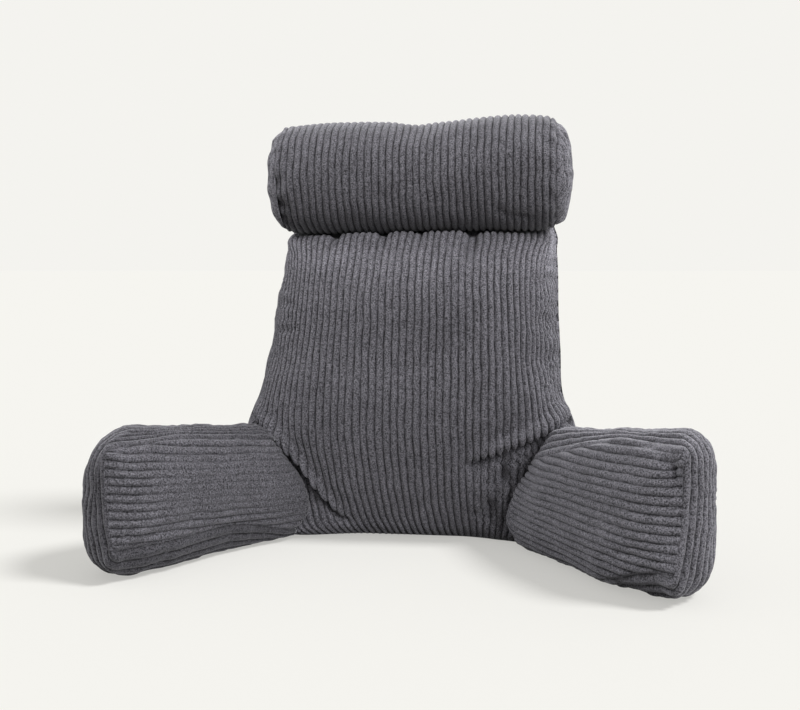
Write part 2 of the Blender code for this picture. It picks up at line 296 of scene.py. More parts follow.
ARM_WALES = {  # share of the arm's length, height of the middle wale, pitch
    "left": (
        (0.00, 0.073, 0.0088),
        (0.30, 0.077, 0.0090),
        (0.60, 0.088, 0.0093),
        (0.85, 0.100, 0.0096),
        (1.00, 0.104, 0.0096),
    ),
    "right": (
        (0.00, 0.090, 0.0082),
        (0.30, 0.088, 0.0086),
        (0.60, 0.088, 0.0094),
        (0.85, 0.089, 0.0099),
        (1.00, 0.089, 0.0100),
    ),
}
INNER_CREASES = {  # metres from the end, height, reach along, reach up, depth, slope
    "left": (
        (0.022, 0.058, 0.0110, 0.0038, 0.0060, 0.9),
        (0.055, 0.053, 0.0260, 0.0050, 0.0030, 0.2),
        (0.110, 0.062, 0.0300, 0.0060, 0.0025, 0.3),
    ),
    "right": (
        (0.013, 0.142, 0.0085, 0.0110, 0.0095, 1.1),
        (0.020, 0.150, 0.0140, 0.0050, 0.0050, 0.3),
        (0.060, 0.052, 0.0300, 0.0060, 0.0030, -0.2),
    ),
}

# ---- neck roll --------------------------------------------------------------------------------
ROLL_RINGS = (  # x, radius, height
    (-0.177, 0.0655, 0.4690),
    (-0.163, 0.0710, 0.4690),
    (-0.120, 0.0735, 0.4700),
    (-0.060, 0.0733, 0.4708),
    (0.000, 0.0717, 0.4704),
    (0.060, 0.0727, 0.4727),
    (0.120, 0.0749, 0.4747),
    (0.166, 0.0725, 0.4745),
    (0.181, 0.0655, 0.4730),
)
ROLL_DENTS = (  # x, degrees round it, reach along, reach round in degrees, depth, slope
    (-0.172, 214.0, 0.012, 10.0, 0.0065, 0.0),
    (-0.171, 186.0, 0.010, 8.0, 0.0045, 0.0),
    (-0.169, 238.0, 0.013, 9.0, 0.0065, 0.0),
    (-0.178, 222.0, 0.018, 28.0, 0.0060, 0.0),
    (0.112, 224.0, 0.010, 7.0, 0.0045, 500.0),
    (0.136, 232.0, 0.016, 5.0, 0.0060, 150.0),
    (0.168, 150.0, 0.007, 9.0, 0.0045, 0.0),
    (0.172, 176.0, 0.006, 8.0, 0.0030, 0.0),
    (0.171, 206.0, 0.007, 9.0, 0.0040, 0.0),
)
ROLL_AROUND = 144
ROLL_LAST = 80           # the last column of the roll's skin
ROLL_SIDE_WALES = 20     # wales on each side of the roll's middle
ROLL_PRESS = 0.0012      # how far the roll and the back draw apart where they touch
ROLL_SEAT = (-0.186, 0.190)   # where the roll presses on the back, from left to right
ROLL_SEAT_FALL = 1.6     # how steeply that ends
DISC_DOMES = {"left": 0.0145, "right": 0.0182}
DISC_ROWS = 60
DISC_SIDE_WALES = 7
DISC_MARGIN = 0.0008     # how much smaller a disc is than the roll's end seam
DISC_ZIGZAG = 0.0042     # how far a disc's wales wander
RING_TURNS = np.radians((8, 20, 35, 50, 66, 80, 90))   # of the bed under a disc, from its seam inwards


# ---- small tools ------------------------------------------------------------------------------
def smoothstep(low, high, value):
    share = np.clip((value - low) / (high - low), 0.0, 1.0)
    return share * share * (3.0 - 2.0 * share)


def bell(distance, reach):
    """1 at no distance, about a third at the reach, nothing far beyond it."""
    return np.exp(-(distance / reach) ** 2)


def cubic(values, places, axis=0):
    """Catmull-Rom interpolation of an array along one axis."""
    values = np.moveaxis(values, axis, 0)
    last = len(values) - 1
    base = np.clip(np.floor(places).astype(int), 0, last - 1)
    t = (places - base).reshape((-1,) + (1,) * (values.ndim - 1))
    a, b, c, d = [values[np.clip(base + offset, 0, last)] for offset in (-1, 0, 1, 2)]
    result = 0.5 * (2 * b + (c - a) * t + (2 * a - 5 * b + 4 * c - d) * t * t
                    + (3 * b - a - 3 * c + d) * t ** 3)
    return np.moveaxis(result, 0, axis)


def densify(rows, steps):
    """Smooth rows between the rows of a table, evenly in row number."""
    rows = np.array(rows, dtype=float)
    return cubic(rows, np.linspace(0.0, len(rows) - 1.0, (len(rows) - 1) * steps + 1))


def along_table(table, index, at, steps=12):
    """A table's column at any place between its rows, without corners."""
    rows = densify(table, steps)
    return np.interp(at, rows[:, 0], rows[:, index])


def at_rows(values, rows):
    """One value for each row, read at fractional row numbers."""
    return np.interp(rows, range(len(values)), values)


def pick(grid, rows, columns):
    """Values of a grid at fractional row and column numbers (bilinear, dense grids only)."""
    rows = np.clip(rows, 0, grid.shape[0] - 1)
    columns = np.clip(columns, 0, grid.shape[1] - 1)
    r = np.clip(np.floor(rows).astype(int), 0, grid.shape[0] - 2)
    c = np.clip(np.floor(columns).astype(int), 0, grid.shape[1] - 2)
    down = (rows - r)[..., None]
    side = (columns - c)[..., None]
    return ((1 - down) * (1 - side) * grid[r, c] + (1 - down) * side * grid[r, c + 1]
            + down * (1 - side) * grid[r + 1, c] + down * side * grid[r + 1, c + 1])


def noise(u, v, seed):
    """Smooth seeded noise, about -1 to 1, with features one unit across."""
    lattice = np.random.RandomState(seed).uniform(-1.0, 1.0, (64, 64))
    iu = np.floor(u).astype(int)
    iv = np.floor(v).astype(int)
    fu = smoothstep(0.0, 1.0, u - iu)
    fv = smoothstep(0.0, 1.0, v - iv)
    low = lattice[iu % 64, iv % 64] * (1 - fu) + lattice[(iu + 1) % 64, iv % 64] * fu
    high = lattice[iu % 64, (iv + 1) % 64] * (1 - fu) + lattice[(iu + 1) % 64, (iv + 1) % 64] * fu
    return low * (1 - fv) + high * fv


def unit(vectors):
    length = np.linalg.norm(vectors, axis=-1, keepdims=True)
    return vectors / np.maximum(length, 1e-9)


def grid_normals(grid):
    """Unit normals of a grid: down its rows crossed with along its columns."""
    return unit(np.cross(np.gradient(grid, axis=1), np.gradient(grid, axis=0)))


def lengths_along(grid, axis):
    steps = np.linalg.norm(np.diff(grid, axis=axis), axis=-1)
    start = np.zeros_like(np.take(steps, [0], axis=axis))
    return np.concatenate([start, np.cumsum(steps, axis=axis)], axis=axis)


def soften(values, axis):
    """Each value becomes a quarter of its neighbours and half of itself; the ends stay."""
    values = np.moveaxis(values, axis, 0).copy()
    values[1:-1] = 0.25 * values[:-2] + 0.5 * values[1:-1] + 0.25 * values[2:]
    return np.moveaxis(values, 0, axis)


def resize_grid(grid, rows, columns):
    """A coarse grid of moves at the size of a dense skin, without corners."""
    tall = cubic(grid, np.linspace(0.0, grid.shape[0] - 1.0, rows), 0)
    return cubic(tall, np.linspace(0.0, grid.shape[1] - 1.0, columns), 1)


def spread(last, count):
    """Some whole numbers from 0 to the last, evenly spread."""
    return np.linspace(0, last, count).round().astype(int)


def wale_columns(low, high, places=ACROSS_WALE):
    """Column positions counted in wales, from one whole wale to another."""
    return np.array([wale + place for wale in range(low, high) for place in places] + [float(high)])


def wale_height(wales):
    """How far the pile stands up across each wale: round ribs with narrow grooves between."""
    across = np.abs(2.0 * (wales - np.floor(wales)) - 1.0)
    return WALE_HEIGHT * (1.0 - across ** 2.5)


def above_floor(points, height=0.0):
    points[..., 2] = np.maximum(points[..., 2], height)


def onto_line(points, past, line):
    """Points past an edge all lie on the edge's line, which has one point for each row."""
    points[past] = np.broadcast_to(line[:, None], points.shape)[past]


# ---- making pieces ----------------------------------------------------------------------------
def net(grids):
    """The points of some grids, and the four-sided faces between them."""
    faces = []
    start = 0
    for grid in grids:
        rows, columns = grid.shape[:2]
        number = start + np.arange(rows * columns).reshape(rows, columns)
        corners = (number[:-1, :-1], number[:-1, 1:], number[1:, 1:], number[1:, :-1])
        faces.append(np.stack(corners, axis=-1).reshape(-1, 4))
        start += rows * columns
    return np.concatenate([grid.reshape(-1, 3) for grid in grids]), np.concatenate(faces)


def face_outwards(shell):
    bmesh.ops.recalc_face_normals(shell, faces=shell.faces)
    if shell.calc_volume(signed=True) < 0:
        bmesh.ops.reverse_faces(shell, faces=shell.faces)


def make_piece(name, patches, material):
    """A closed piece from grids of points; each patch is (points, wale numbers, strength of the painted
    groove shade).
    """
    points, faces = net([grid for grid, _, _ in patches])
    marks = [np.stack([np.broadcast_to(mark, grid.shape[:2]) for mark in (wales, groove)], axis=-1)
             for grid, wales, groove in patches]
    marks = np.concatenate([mark.reshape(-1, 2) for mark in marks])
    mesh = bpy.data.meshes.new(name)
    mesh.vertices.add(len(points))
    mesh.vertices.foreach_set("co", (points + HOME).ravel())
    mesh.loops.add(faces.size)
    mesh.loops.foreach_set("vertex_index", faces.ravel())
    mesh.polygons.add(len(faces))
    mesh.polygons.foreach_set("loop_start", np.arange(0, faces.size, 4))
    mesh.update()
    layer = mesh.uv_layers.new(name="wales")
    layer.data.foreach_set("uv", marks[faces.ravel()].ravel())
    shell = bmesh.new()
    shell.from_mesh(mesh)
    bmesh.ops.remove_doubles(shell, verts=shell.verts, dist=0.00002)
    bmesh.ops.dissolve_degenerate(shell, edges=shell.edges, dist=0.000015)
    face_outwards(shell)
    shell.to_mesh(mesh)
    shell.free()
    mesh.validate()
    mesh.shade_smooth()
    mesh.materials.append(material)
    piece = bpy.data.objects.new(name, mesh)
    bpy.context.collection.objects.link(piece)
    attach(piece, "root")
    return piece


def search_tree(grids):
    """A search tree of grids of points, in the sewing frame, facing away from their middle."""
    points, faces = net(grids)
    middle = points.mean(axis=0)
    start = 0
    for grid in grids:
        stop = start + (grid.shape[0] - 1) * (grid.shape[1] - 1)
        if np.mean(np.sum(grid_normals(grid) * (grid - middle), axis=-1)) < 0:
            faces[start:stop] = faces[start:stop, ::-1]
        start = stop
    return BVHTree.FromPolygons(points.tolist(), faces.tolist())


def inflate(name, grids, pins, inset, most, slack, even):
    """Fill a closed cage of grids with the cloth simulation; returns how each grid's points move.

    The cage starts smaller by the inset where it isn't pinned; no point moves further than most.
    Slack is how much the cloth is cut too large; even is how often the moves are evened out.
    """
    points, faces = net(grids)
    weights = np.concatenate([pin.ravel() for pin in pins])
    _, first, same = np.unique(np.round(points, 5), axis=0, return_index=True, return_inverse=True)
    same = same.ravel()
    polygons = []
    for corners in same[faces].tolist():
        ring = [corner for index, corner in enumerate(corners) if corner != corners[index - 1]]
        if len(set(ring)) > 2:
            polygons.append(ring)
    pinned = np.zeros(len(first))
    np.maximum.at(pinned, same, weights)
    mesh = bpy.data.meshes.new(name)
    mesh.from_pydata(points[first].tolist(), [], polygons)
    shell = bmesh.new()
    shell.from_mesh(mesh)
    face_outwards(shell)
    shell.normal_update()
    for vertex in shell.verts:
        vertex.co -= vertex.normal * inset * (1.0 - pinned[vertex.index])
    shell.to_mesh(mesh)
    shell.free()
    cage = bpy.data.objects.new(name, mesh)
    bpy.context.collection.objects.link(cage)
    group = cage.vertex_groups.new(name="sewn")
    for index, weight in enumerate(pinned.tolist()):
        group.add([index], weight, "REPLACE")
    cloth = cage.modifiers.new("filling", "CLOTH")
    for setting, value in FILLING.items():
        setattr(cloth.settings, setting, value)
    cloth.settings.shrink_min = -slack
    cloth.settings.shrink_max = -slack
    cloth.settings.effector_weights.gravity = 0.0
    cloth.point_cache.frame_start = 1
    cloth.point_cache.frame_end = FILLING_FRAMES
    start = np.empty(len(first) * 3)
    mesh.vertices.foreach_get("co", start)
    for number in range(1, FILLING_FRAMES + 1):
        bpy.context.scene.frame_set(number)
    filled = cage.evaluated_get(bpy.context.evaluated_depsgraph_get()).to_mesh()
    end = np.empty(len(first) * 3)
    filled.vertices.foreach_get("co", end)
    bpy.context.scene.frame_set(1)
    move = (end - start).reshape(-1, 3)
    move *= np.minimum(1.0, most / np.maximum(np.linalg.norm(move, axis=1, keepdims=True), 1e-9))
    bpy.data.objects.remove(cage)
    change = (start.reshape(-1, 3) + move - points[first])[same]
    result = []
    for grid in grids:
        count = grid.shape[0] * grid.shape[1]
        move = change[:count].reshape(grid.shape)
        change = change[count:]
        for axis in (0, 1) * even:
            move = soften(move, axis)
        result.append(move)
    return result


# ---- back cushion -----------------------------------------------------------------------------
def back_skins():
    """Front and rear skins, rows up the profile and columns from seam to seam, and how far apart rows are."""
    rows = densify(BACK_LEVELS, 16)
    profile = np.concatenate([[0.0], np.cumsum(np.hypot(np.diff(rows[:, 3]), np.diff(rows[:, 0])))])
    climb = np.linspace(0.0, profile[-1], BACK_ROWS)
    level = np.stack([np.interp(climb, profile, rows[:, index]) for index in range(8)], axis=1)
    turn = np.linspace(math.pi, 0.0, 3 * BACK_LAST + 1)
    skins = []
    for face in ("front", "rear"):
        skin = np.empty((BACK_ROWS, BACK_LAST + 1, 3))
        for index, (height, left, right, front, rear, seam, squareness, flare) in enumerate(level):
            side = np.sign(np.cos(turn)) * np.abs(np.cos(turn)) ** (2.0 / squareness)
            deep = np.abs(np.sin(turn)) ** (2.0 / squareness)
            x = side * np.where(side > 0, right, left)
            y = seam + deep * (rear - seam)
            if face == "front":
                y = seam + deep * (front - seam)
                y = y - flare * deep * np.clip((np.abs(x) - 0.06) / 0.095, 0.0, 1.1) ** 1.6
            run = np.concatenate([[0.0], np.cumsum(np.hypot(np.diff(x), np.diff(y)))])
            even = np.linspace(0.0, run[-1], BACK_LAST + 1)
            skin[index, :, 0] = np.interp(even, run, x)
            skin[index, :, 1] = np.interp(even, run, y)
            skin[index, :, 2] = height
        skins.append(skin)
    return skins[0], skins[1], climb[1]


def roll_surface(x):
    """The roll's radius and the height of its axis at x."""
    return along_table(ROLL_RINGS, 1, x), along_table(ROLL_RINGS, 2, x)


def press_under_roll(grid):
    """Push a skin out of the roll; returns the skin and how clear of the roll each point is."""
    radius, axis_height = roll_surface(grid[..., 0])
    beyond = np.maximum(ROLL_SEAT[0] - grid[..., 0], grid[..., 0] - ROLL_SEAT[1])
    radius = radius + ROLL_PRESS - ROLL_SEAT_FALL * np.maximum(0.0, beyond)
    away = np.stack([grid[..., 1] + ROLL_FORWARD, grid[..., 2] - axis_height], axis=-1)
    distance = np.linalg.norm(away, axis=-1)
    clear = distance - radius
    pushed = radius + ROLL_PRESS * np.logaddexp(0.0, clear / ROLL_PRESS)
    away = away * (pushed / np.maximum(distance, 1e-6))[..., None]
    result = grid.copy()
    result[..., 1] = away[..., 0] - ROLL_FORWARD
    result[..., 2] = away[..., 1] + axis_height
    return result, clear


def fold_at(x, index):
    return along_table(FOLDS, index, x, 6)


def fold_steps(count, tight):
    """Shares from a fold to the edge, closer together at the fold."""
    weights = 1.0 - 0.62 * bell(np.arange(count), tight)
    return np.concatenate([[0.0], np.cumsum(weights) / np.sum(weights)])


def fill_back(front, rear):
    """How the cloth simulation moves the front and rear skins."""
    rows = spread(BACK_ROWS - 1, BACK_CAGE[0])
    columns = spread(BACK_LAST, BACK_CAGE[1])
    cage_front = front[rows][:, columns]
    cage_rear = rear[rows][:, columns]
    cage_rear[:, [0, -1]] = cage_front[:, [0, -1]]
    grids = [cage_front, cage_rear]
    pins = []
    for skin in grids:
        pin = np.zeros(skin.shape[:2])
        pin[:, [0, -1]] = 1.0
        pin[[0, -1]] = 1.0
        pin = np.maximum(pin, 1.0 - smoothstep(0.004, 0.016, press_under_roll(skin)[1]))
        pin = np.maximum(pin, 1.0 - smoothstep(0.004, 0.020, skin[..., 2]))
        if skin is cage_front:
            away = np.abs(skin[..., 2] - fold_at(skin[..., 0], 1))
            pull = fold_at(skin[..., 0], 2) / DEEPEST_FOLD
            pin = np.maximum(pin, pull * (1.0 - smoothstep(0.004, 0.014, away)))
        pins.append(pin)
    for row, middle in ((0, BASE_MIDDLE), (-1, np.array([*TOP_MIDDLE, front[-1, 0, 2]]))):
        for skin in (cage_front, cage_rear):
            lid = np.stack([skin[row] * (1 - share) + middle * share for share in (0.0, 0.4, 0.75, 1.0)])
            grids.append(lid)
            pins.append(np.ones(lid.shape[:2]))
    moves = inflate("back_filling", grids, pins, *FULLNESS["back"])
    return [resize_grid(move, BACK_ROWS, BACK_LAST + 1) for move in moves[:2]]


def back_relief(base, clear, from_seam):
    """How far the wales stand up, between the seams, the roll and the floor; and a seam's bite."""
    stand = smoothstep(0.0, 0.005, from_seam) * smoothstep(-0.001, 0.006, clear)
    return stand * smoothstep(0.0, 0.004, base[..., 2]), SEAM_BITE * bell(from_seam, SEAM_BITE_REACH)


def build_back(material):
    front, rear, row_climb = back_skins()
    front_move, rear_move = fill_back(front, rear)
    front = front + front_move
    rear = rear + rear_move
    heights = front[:, BACK_LAST // 2, 2]
    top = BACK_ROWS - 1
    run = lengths_along(front, 1)
    width = run[:, -1]
    middle = np.array([np.interp(0.0, *pair) for pair in zip(front[..., 0], run)])
    middle = middle + along_table(FRONT_WALES, 1, heights)
    pitch = along_table(FRONT_WALES, 2, heights)
    wales = wale_columns(-31, 35)

    def share_across(row):
        """Where each wale is on a row of the front, from 0 at the left seam to 1 at the right."""
        return (at_rows(middle, row) + wales * at_rows(pitch, row)) / at_rows(width, row)

    def fold_rows(share_of, count):
        """The rows where lines up the front, each given as a function of row, meet the fold."""
        row = np.full(count, np.interp(0.08, heights, range(BACK_ROWS)))
        for _ in range(30):
            x = pick(front, row, share_of(row) * BACK_LAST)[..., 0]
            row = 0.6 * row + 0.4 * np.interp(fold_at(x, 1), heights, range(BACK_ROWS))
        return row

    below = 1.0 - fold_steps(FOLD_ROWS_BELOW, 5.0)[::-1]
    above = fold_steps(FOLD_ROWS_ABOVE, 6.0)

    def rows_through(fold):
        return np.concatenate([fold * below, (fold + (top - fold) * above)[1:]])

    centre = fold_rows(lambda row: np.clip(share_across(row), 0, 1), len(wales))
    edges = [fold_rows(lambda row: 0 * row + edge, 1)[0] for edge in (0.0, 1.0)]
    left_rows, right_rows = [rows_through(fold) for fold in edges]
    rows = np.stack([rows_through(fold) for fold in centre], axis=1)
    share = share_across(rows)
    at_left = share <= 0.0
    at_right = share >= 1.0
    rows = np.where(at_left, left_rows[:, None], np.where(at_right, right_rows[:, None], rows))
    share = np.clip(share, 0.0, 1.0)

    # the folds: how far each point is above the fold, measured up the cloth
    rise = (rows - np.where(at_left, edges[0], np.where(at_right, edges[1], centre))) * row_climb
    base = pick(front, rows, share * BACK_LAST)
    x = base[..., 0]
    z = base[..., 2]
    lip = fold_at(x, 3)
    out = pick(grid_normals(front), rows, share * BACK_LAST)
    up = unit(pick(np.gradient(front, axis=0), rows, share * BACK_LAST))
    crest = wale_height(wales) / WALE_HEIGHT
    ragged = 0.0012 * noise(wales * 0.45, 0.5, 12)
    edge = rise + ragged + 0.0036 * (crest - 0.75) * smoothstep(0.0, 0.004, rise)
    wide = np.where(edge > 0, FOLD_ABOVE, FOLD_BELOW)
    trough = np.exp(-np.abs(edge / wide) ** np.where(edge > 0, 4.0, 2.0))
    inward = FOLD_DEPTH * fold_at(x, 2) * trough - lip * bell(rise - LIP_AT, LIP_REACH)
    droop = fold_at(x, 4) * (0.05 + 0.45 * crest) * bell(rise - DROOP_AT, DROOP_REACH)
    for place, height, wide, tall, deep in HOLLOWS:
        inward += deep * bell(x - place, wide) * bell(z - height, tall)

    # the wales, the fullness under the roll and the crumpled places
    pressed, clear = press_under_roll(base)
    from_seam = np.minimum(share, 1 - share) * at_rows(width, rows)
    stand, bite = back_relief(base, clear, from_seam)
    wobble = 0.0009 * noise(rows * 0.11, wales * 0.7, 3)
    ribs = wale_height(wales) * (1.0 + 0.16 * noise(rows * 0.16, wales * 0.31, 5))
    ribs = ribs * (1.0 + 0.45 * bell(clear - 0.008, 0.010) + 55.0 * lip * bell(rise - 0.011, 0.007))
    puff = UNDER_ROLL * bell(clear - UNDER_ROLL_AT, UNDER_ROLL_REACH) * smoothstep(0.01, 0.05, from_seam)
    pressed = press_under_roll(pressed + out * puff[..., None])[0]
    for place, height, wide, tall, sideways, wave, deep in CRUMPLES:
        share_in = bell(x - place, wide) * bell(z - height, tall)
        phase = z / wave + 0.9 * noise(x / 0.02, z / 0.02, 14)
        wobble = wobble + sideways * share_in * np.sin(math.tau * phase)
        inward = inward + deep * share_in * noise(x / 0.008, z / 0.010, 15)
    swell = 0.0011 * noise(x / 0.050, z / 0.060, 8)
    offset = -inward - bite + stand * (ribs - WALE_SINK + swell) - SEAM_SINK * (1 - stand)
    front_points = pressed + out * offset[..., None] - up * droop[..., None]
    front_points[..., 0] += wobble * stand
    above_floor(front_points)
    plain_front = pressed - out * (np.minimum(inward, 0.002) + bite + 0.0008)[..., None]

    # rear: rows run straight from one seam to the other
    run = lengths_along(rear, 1)
    middle = np.array([np.interp(0.0, *pair) for pair in zip(rear[..., 0], run)])
    rear_wales = wale_columns(-41, 42, ACROSS_WALE_PLAIN)
    mean_rows = 0.5 * (left_rows + right_rows)[:, None]
    lengths = at_rows(run[:, -1], mean_rows)
    rear_share = np.clip((at_rows(middle, mean_rows) + rear_wales * REAR_PITCH) / lengths, 0.0, 1.0)
    rows = left_rows[:, None] + (right_rows - left_rows)[:, None] * rear_share
    base = pick(rear, rows, rear_share * BACK_LAST)
    pressed, clear = press_under_roll(base)
    stand, bite = back_relief(base, clear, np.minimum(rear_share, 1 - rear_share) * lengths)
    swell = 0.0016 * noise(base[..., 0] / 0.060 + 7, base[..., 2] / 0.070, 9)
    out = -pick(grid_normals(rear), rows, rear_share * BACK_LAST)
    offset = stand * (wale_height(rear_wales) - WALE_SINK + swell) - bite - SEAM_SINK * (1 - stand)
    rear_points = pressed + out * offset[..., None]
    above_floor(rear_points)
    plain_rear = pressed + out * (-0.0008 - bite)[..., None]

    # the two seams are shared
    sides = ((0, left_rows, 0.0, at_left, rear_share <= 0.0),
             (-1, right_rows, float(BACK_LAST), at_right, rear_share >= 1.0))
    for side, seam_rows, column, past_front, past_rear in sides:
        seam = press_under_roll(pick(front, seam_rows, np.full(len(seam_rows), column)))[0]
        for points, past in ((front_points, past_front), (rear_points, past_rear)):
            points[:, side] = seam
            onto_line(points, past, seam)

    patches = []
    slit = np.array([*TOP_MIDDLE, front_points[-1, :, 2].mean()])
    for points, marks in ((front_points, wales), (rear_points, rear_wales)):
        floor = [BASE_MIDDLE + (points[0] - BASE_MIDDLE) * share * np.array([1, 1, 0])
                 for share in (0.0, 0.4, 0.8, 0.95)]
        lid = np.broadcast_to(slit, points[-1:].shape)
        patches.append((np.concatenate([floor, points, lid]), marks, 1.0))
    piece = make_piece("back_cushion_cover", patches, material)
    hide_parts("back_cushion")
    return piece, search_tree([plain_front[:, ::3], plain_rear[:, ::3]])


# ---- arms -------------------------------------------------------------------------------------
def arm_outline(arm, across, count=60):
    """An arm's outline at a place across it: along and up, underside first, then end, then top."""
    inner = smoothstep(0.012, 0.038, -across)
    outer = smoothstep(0.60, 1.0, across / HALF_STRIP)
    crown = STRIP_CROWN * (1.0 - np.abs(across / HALF_STRIP) ** 2.3)
    low_radius = LOW_RADIUS + (arm.seam_corner - LOW_RADIUS) * inner
    high_radius = arm.high_corner + (arm.seam_corner - arm.high_corner) * inner
    end = arm.length - arm.skew * (across + HALF_STRIP) + crown
    curl = np.clip((0.006 - across) / (0.006 + HALF_STRIP), 0.0, 1.0) ** 4.2

    def low(along):
        rise = smoothstep(arm.seam_from, arm.seam_full, along / ARM_LENGTH)
        inner_rise = 0.006 + (arm.seam_low - 0.006) * rise
        outer_rise = 0.010 + 0.006 * smoothstep(0.4, 0.9, along / ARM_LENGTH)
        return inner_rise * curl + outer_rise * outer

    def top(along):
        slope = (arm.end_height - arm.root_height) / ARM_LENGTH
        drop = 0.010 * inner * smoothstep(0.70, 1.0, along / ARM_LENGTH)
        drop = drop + arm.root_drop * inner * (1.0 - smoothstep(0.18, 0.75, along / ARM_LENGTH))
        return arm.root_height + slope * along + crown - drop

    low_start = end - low_radius
    high_start = end - high_radius
    floor = low(low_start) + low_radius
    ceiling = top(high_start) - high_radius
    share = np.linspace(0.0, 1.0, count)
    sine = np.sin(share * math.pi / 2)
    cosine = np.cos(share * math.pi / 2)
    parts = [
        (share * low_start, low(share * low_start)),
        (low_start + low_radius * sine, floor - low_radius * cosine),
        (end + 0 * share, floor + share * (ceiling - floor)),
        (high_start + high_radius * cosine, ceiling + high_radius * sine),
        ((1 - share) * high_start, top((1 - share) * high_start)),
    ]
    path = [first + share * (last - first) for first, last in zip(PATH_STOPS, PATH_STOPS[1:])]
    along, up = [np.concatenate(column) for column in zip(*parts)]
    return np.concatenate(path), along, up


def arm_place(arm, along, across, up):
    """Points of an arm, in the sewing frame, from how far along, across and up they are."""
    heading = math.radians(arm.heading)
    ahead = (math.cos(heading), math.sin(heading))
    outward = (-ahead[1], ahead[0])
    to_corner = along - ARM_LENGTH
    narrowing = np.where(across < 0, INNER_NARROWING, OUTER_NARROWING)
    aside = across * (1.0 - narrowing * (to_corner / ARM_LENGTH) ** 2) + HALF_STRIP
    share = along / ARM_LENGTH
    belly = 0.5 * smoothstep(0.05, 0.35, share) + 0.5 * bell(share - 0.80, 0.16)
    low_inner = (1.0 - smoothstep(0.02, 0.10, up)) * np.clip(-across / HALF_STRIP, 0.0, 1.0)
    aside = aside - arm.belly * belly * low_inner
    x = ARM_CORNER[0] + to_corner * ahead[0] + aside * outward[0]
    y = ARM_CORNER[1] + to_corner * ahead[1] + aside * outward[1]
    return np.stack([arm.mirror * x, y, up], axis=-1)


def arm_skins(arm):
    """Dense skins: the strip (path by across) and the two panels (along by up)."""
    strip = np.empty((len(PATH), len(ACROSS), 3))
    for index, across in enumerate(ACROSS):
        path, along, up = arm_outline(arm, across)
        strip[:, index] = arm_place(arm, np.interp(PATH, path, along), across, np.interp(PATH, path, up))
    panels = []
    for across in (-HALF_STRIP, HALF_STRIP):
        path, along, up = arm_outline(arm, across)
        turn = int(np.argmax(path >= (PATH_STOPS[2] + PATH_STOPS[3]) / 2))
        panel_along = PANEL_ALONG * along.max()
        bottom = np.interp(panel_along, along[:turn], up[:turn])
        ceiling = np.interp(panel_along, along[turn:][::-1], up[turn:][::-1])
        bottom[-1], ceiling[-1] = np.interp(PATH_STOPS[2:4], path, up)
        tall = (ceiling - bottom)[:, None]
        panel_up = bottom[:, None] + PANEL_UP * tall
        panel_along = np.broadcast_to(panel_along[:, None], panel_up.shape)
        to_seams = (along.max() - panel_along, PANEL_UP * tall, (1 - PANEL_UP) * tall)
        reach = sum(np.maximum(distance, 1e-5) ** -3.0 for distance in to_seams) ** (-1 / 3.0)
        bulge = PANEL_CROWN * (1 - (1 - np.clip(reach / PANEL_REACH, 0, 1)) ** 2.4)
        panels.append(arm_place(arm, panel_along, across + math.copysign(1.0, across) * bulge, panel_up))
    return strip, panels[0], panels[1]


def nearest_path(line, seam):
    """The number of the seam's point that is nearest to each point of a line."""
    return np.argmin(np.linalg.norm(line[:, None] - seam[None], axis=-1), axis=1)


def fill_arm(arm, strip, inner, outer):
    """The strip and panels of an arm after the cloth simulation."""
    last_row, last_column, last_step = len(PANEL_ALONG) - 1, len(PANEL_UP) - 1, len(ACROSS) - 1
    rows = (last_row * (1.0 - (1.0 - np.linspace(0.0, 1.0, ARM_CAGE[0])) ** (2.0 / 3.0))).round().astype(int)
    columns = spread(last_column, ARM_CAGE[1])
    steps = spread(last_step, ARM_CAGE_STEPS)
    cage_inner = inner[rows][:, columns]
    cage_outer = outer[rows][:, columns]

    def ribbon(start, end):
        first = nearest_path(start, strip[:, 0])[:, None]
        last = nearest_path(end, strip[:, -1])[:, None]
        share = steps / last_step
        band = strip[np.round(first * (1 - share) + last * share).astype(int), steps]
        band[:, 0] = start
        band[:, -1] = end
        return band, first[:, 0]

    low, low_path = ribbon(cage_inner[:, 0], cage_outer[:, 0])
    top, top_path = ribbon(cage_inner[:, -1], cage_outer[:, -1])
    end, end_path = ribbon(cage_inner[-1], cage_outer[-1])
    end[0] = low[-1]
    end[-1] = top[-1]
    root = cage_inner[0][:, None] + (cage_outer[0] - cage_inner[0])[:, None] * (steps / last_step)[:, None]
    root[0] = low[0]
    root[-1] = top[0]
    grids = [cage_inner, cage_outer, low, top, end, root]
    pins = [1.0 - smoothstep(0.003, 0.014, grid[..., 2]) for grid in grids]
    for pin in pins[:5]:
        pin[:, [0, -1]] = 1.0
    for pin in pins[:4]:
        pin[:8] = 1.0
    for pin in pins[:2]:
        pin[-1] = 1.0
    pins[5][:] = 1.0
    moves = inflate(arm.side + "_arm_filling", grids, pins, *FULLNESS["arm"])
    paths = np.concatenate([low_path, end_path[1:-1], top_path[::-1]])
    bands = np.concatenate([moves[2], moves[4][1:-1], moves[3][::-1]])
    order = np.argsort(paths, kind="stable")
    strip_move = np.empty((len(PATH), len(steps), 3))
    for step in range(len(steps)):
        for axis in range(3):
            moved = bands[order, step, axis]
            strip_move[:, step, axis] = np.interp(range(len(PATH)), paths[order], moved)
    for _ in range(60):
        strip_move = soften(strip_move, 0)
    strip_move = cubic(strip_move, np.linspace(0, len(steps) - 1.0, len(ACROSS)), 1)
    panels = [skin + resize_grid(move, *skin.shape[:2]) for skin, move in zip((inner, outer), moves)]
    return strip + strip_move, panels[0], panels[1]


def root_pull(clear):
    """How much an arm is drawn in at some distance from the back: all at its root, none past the reach."""
    return 1.0 - np.sqrt(1.0 - (1.0 - np.clip(clear / ROOT_REACH, 0.0, 1.0)) ** 2)


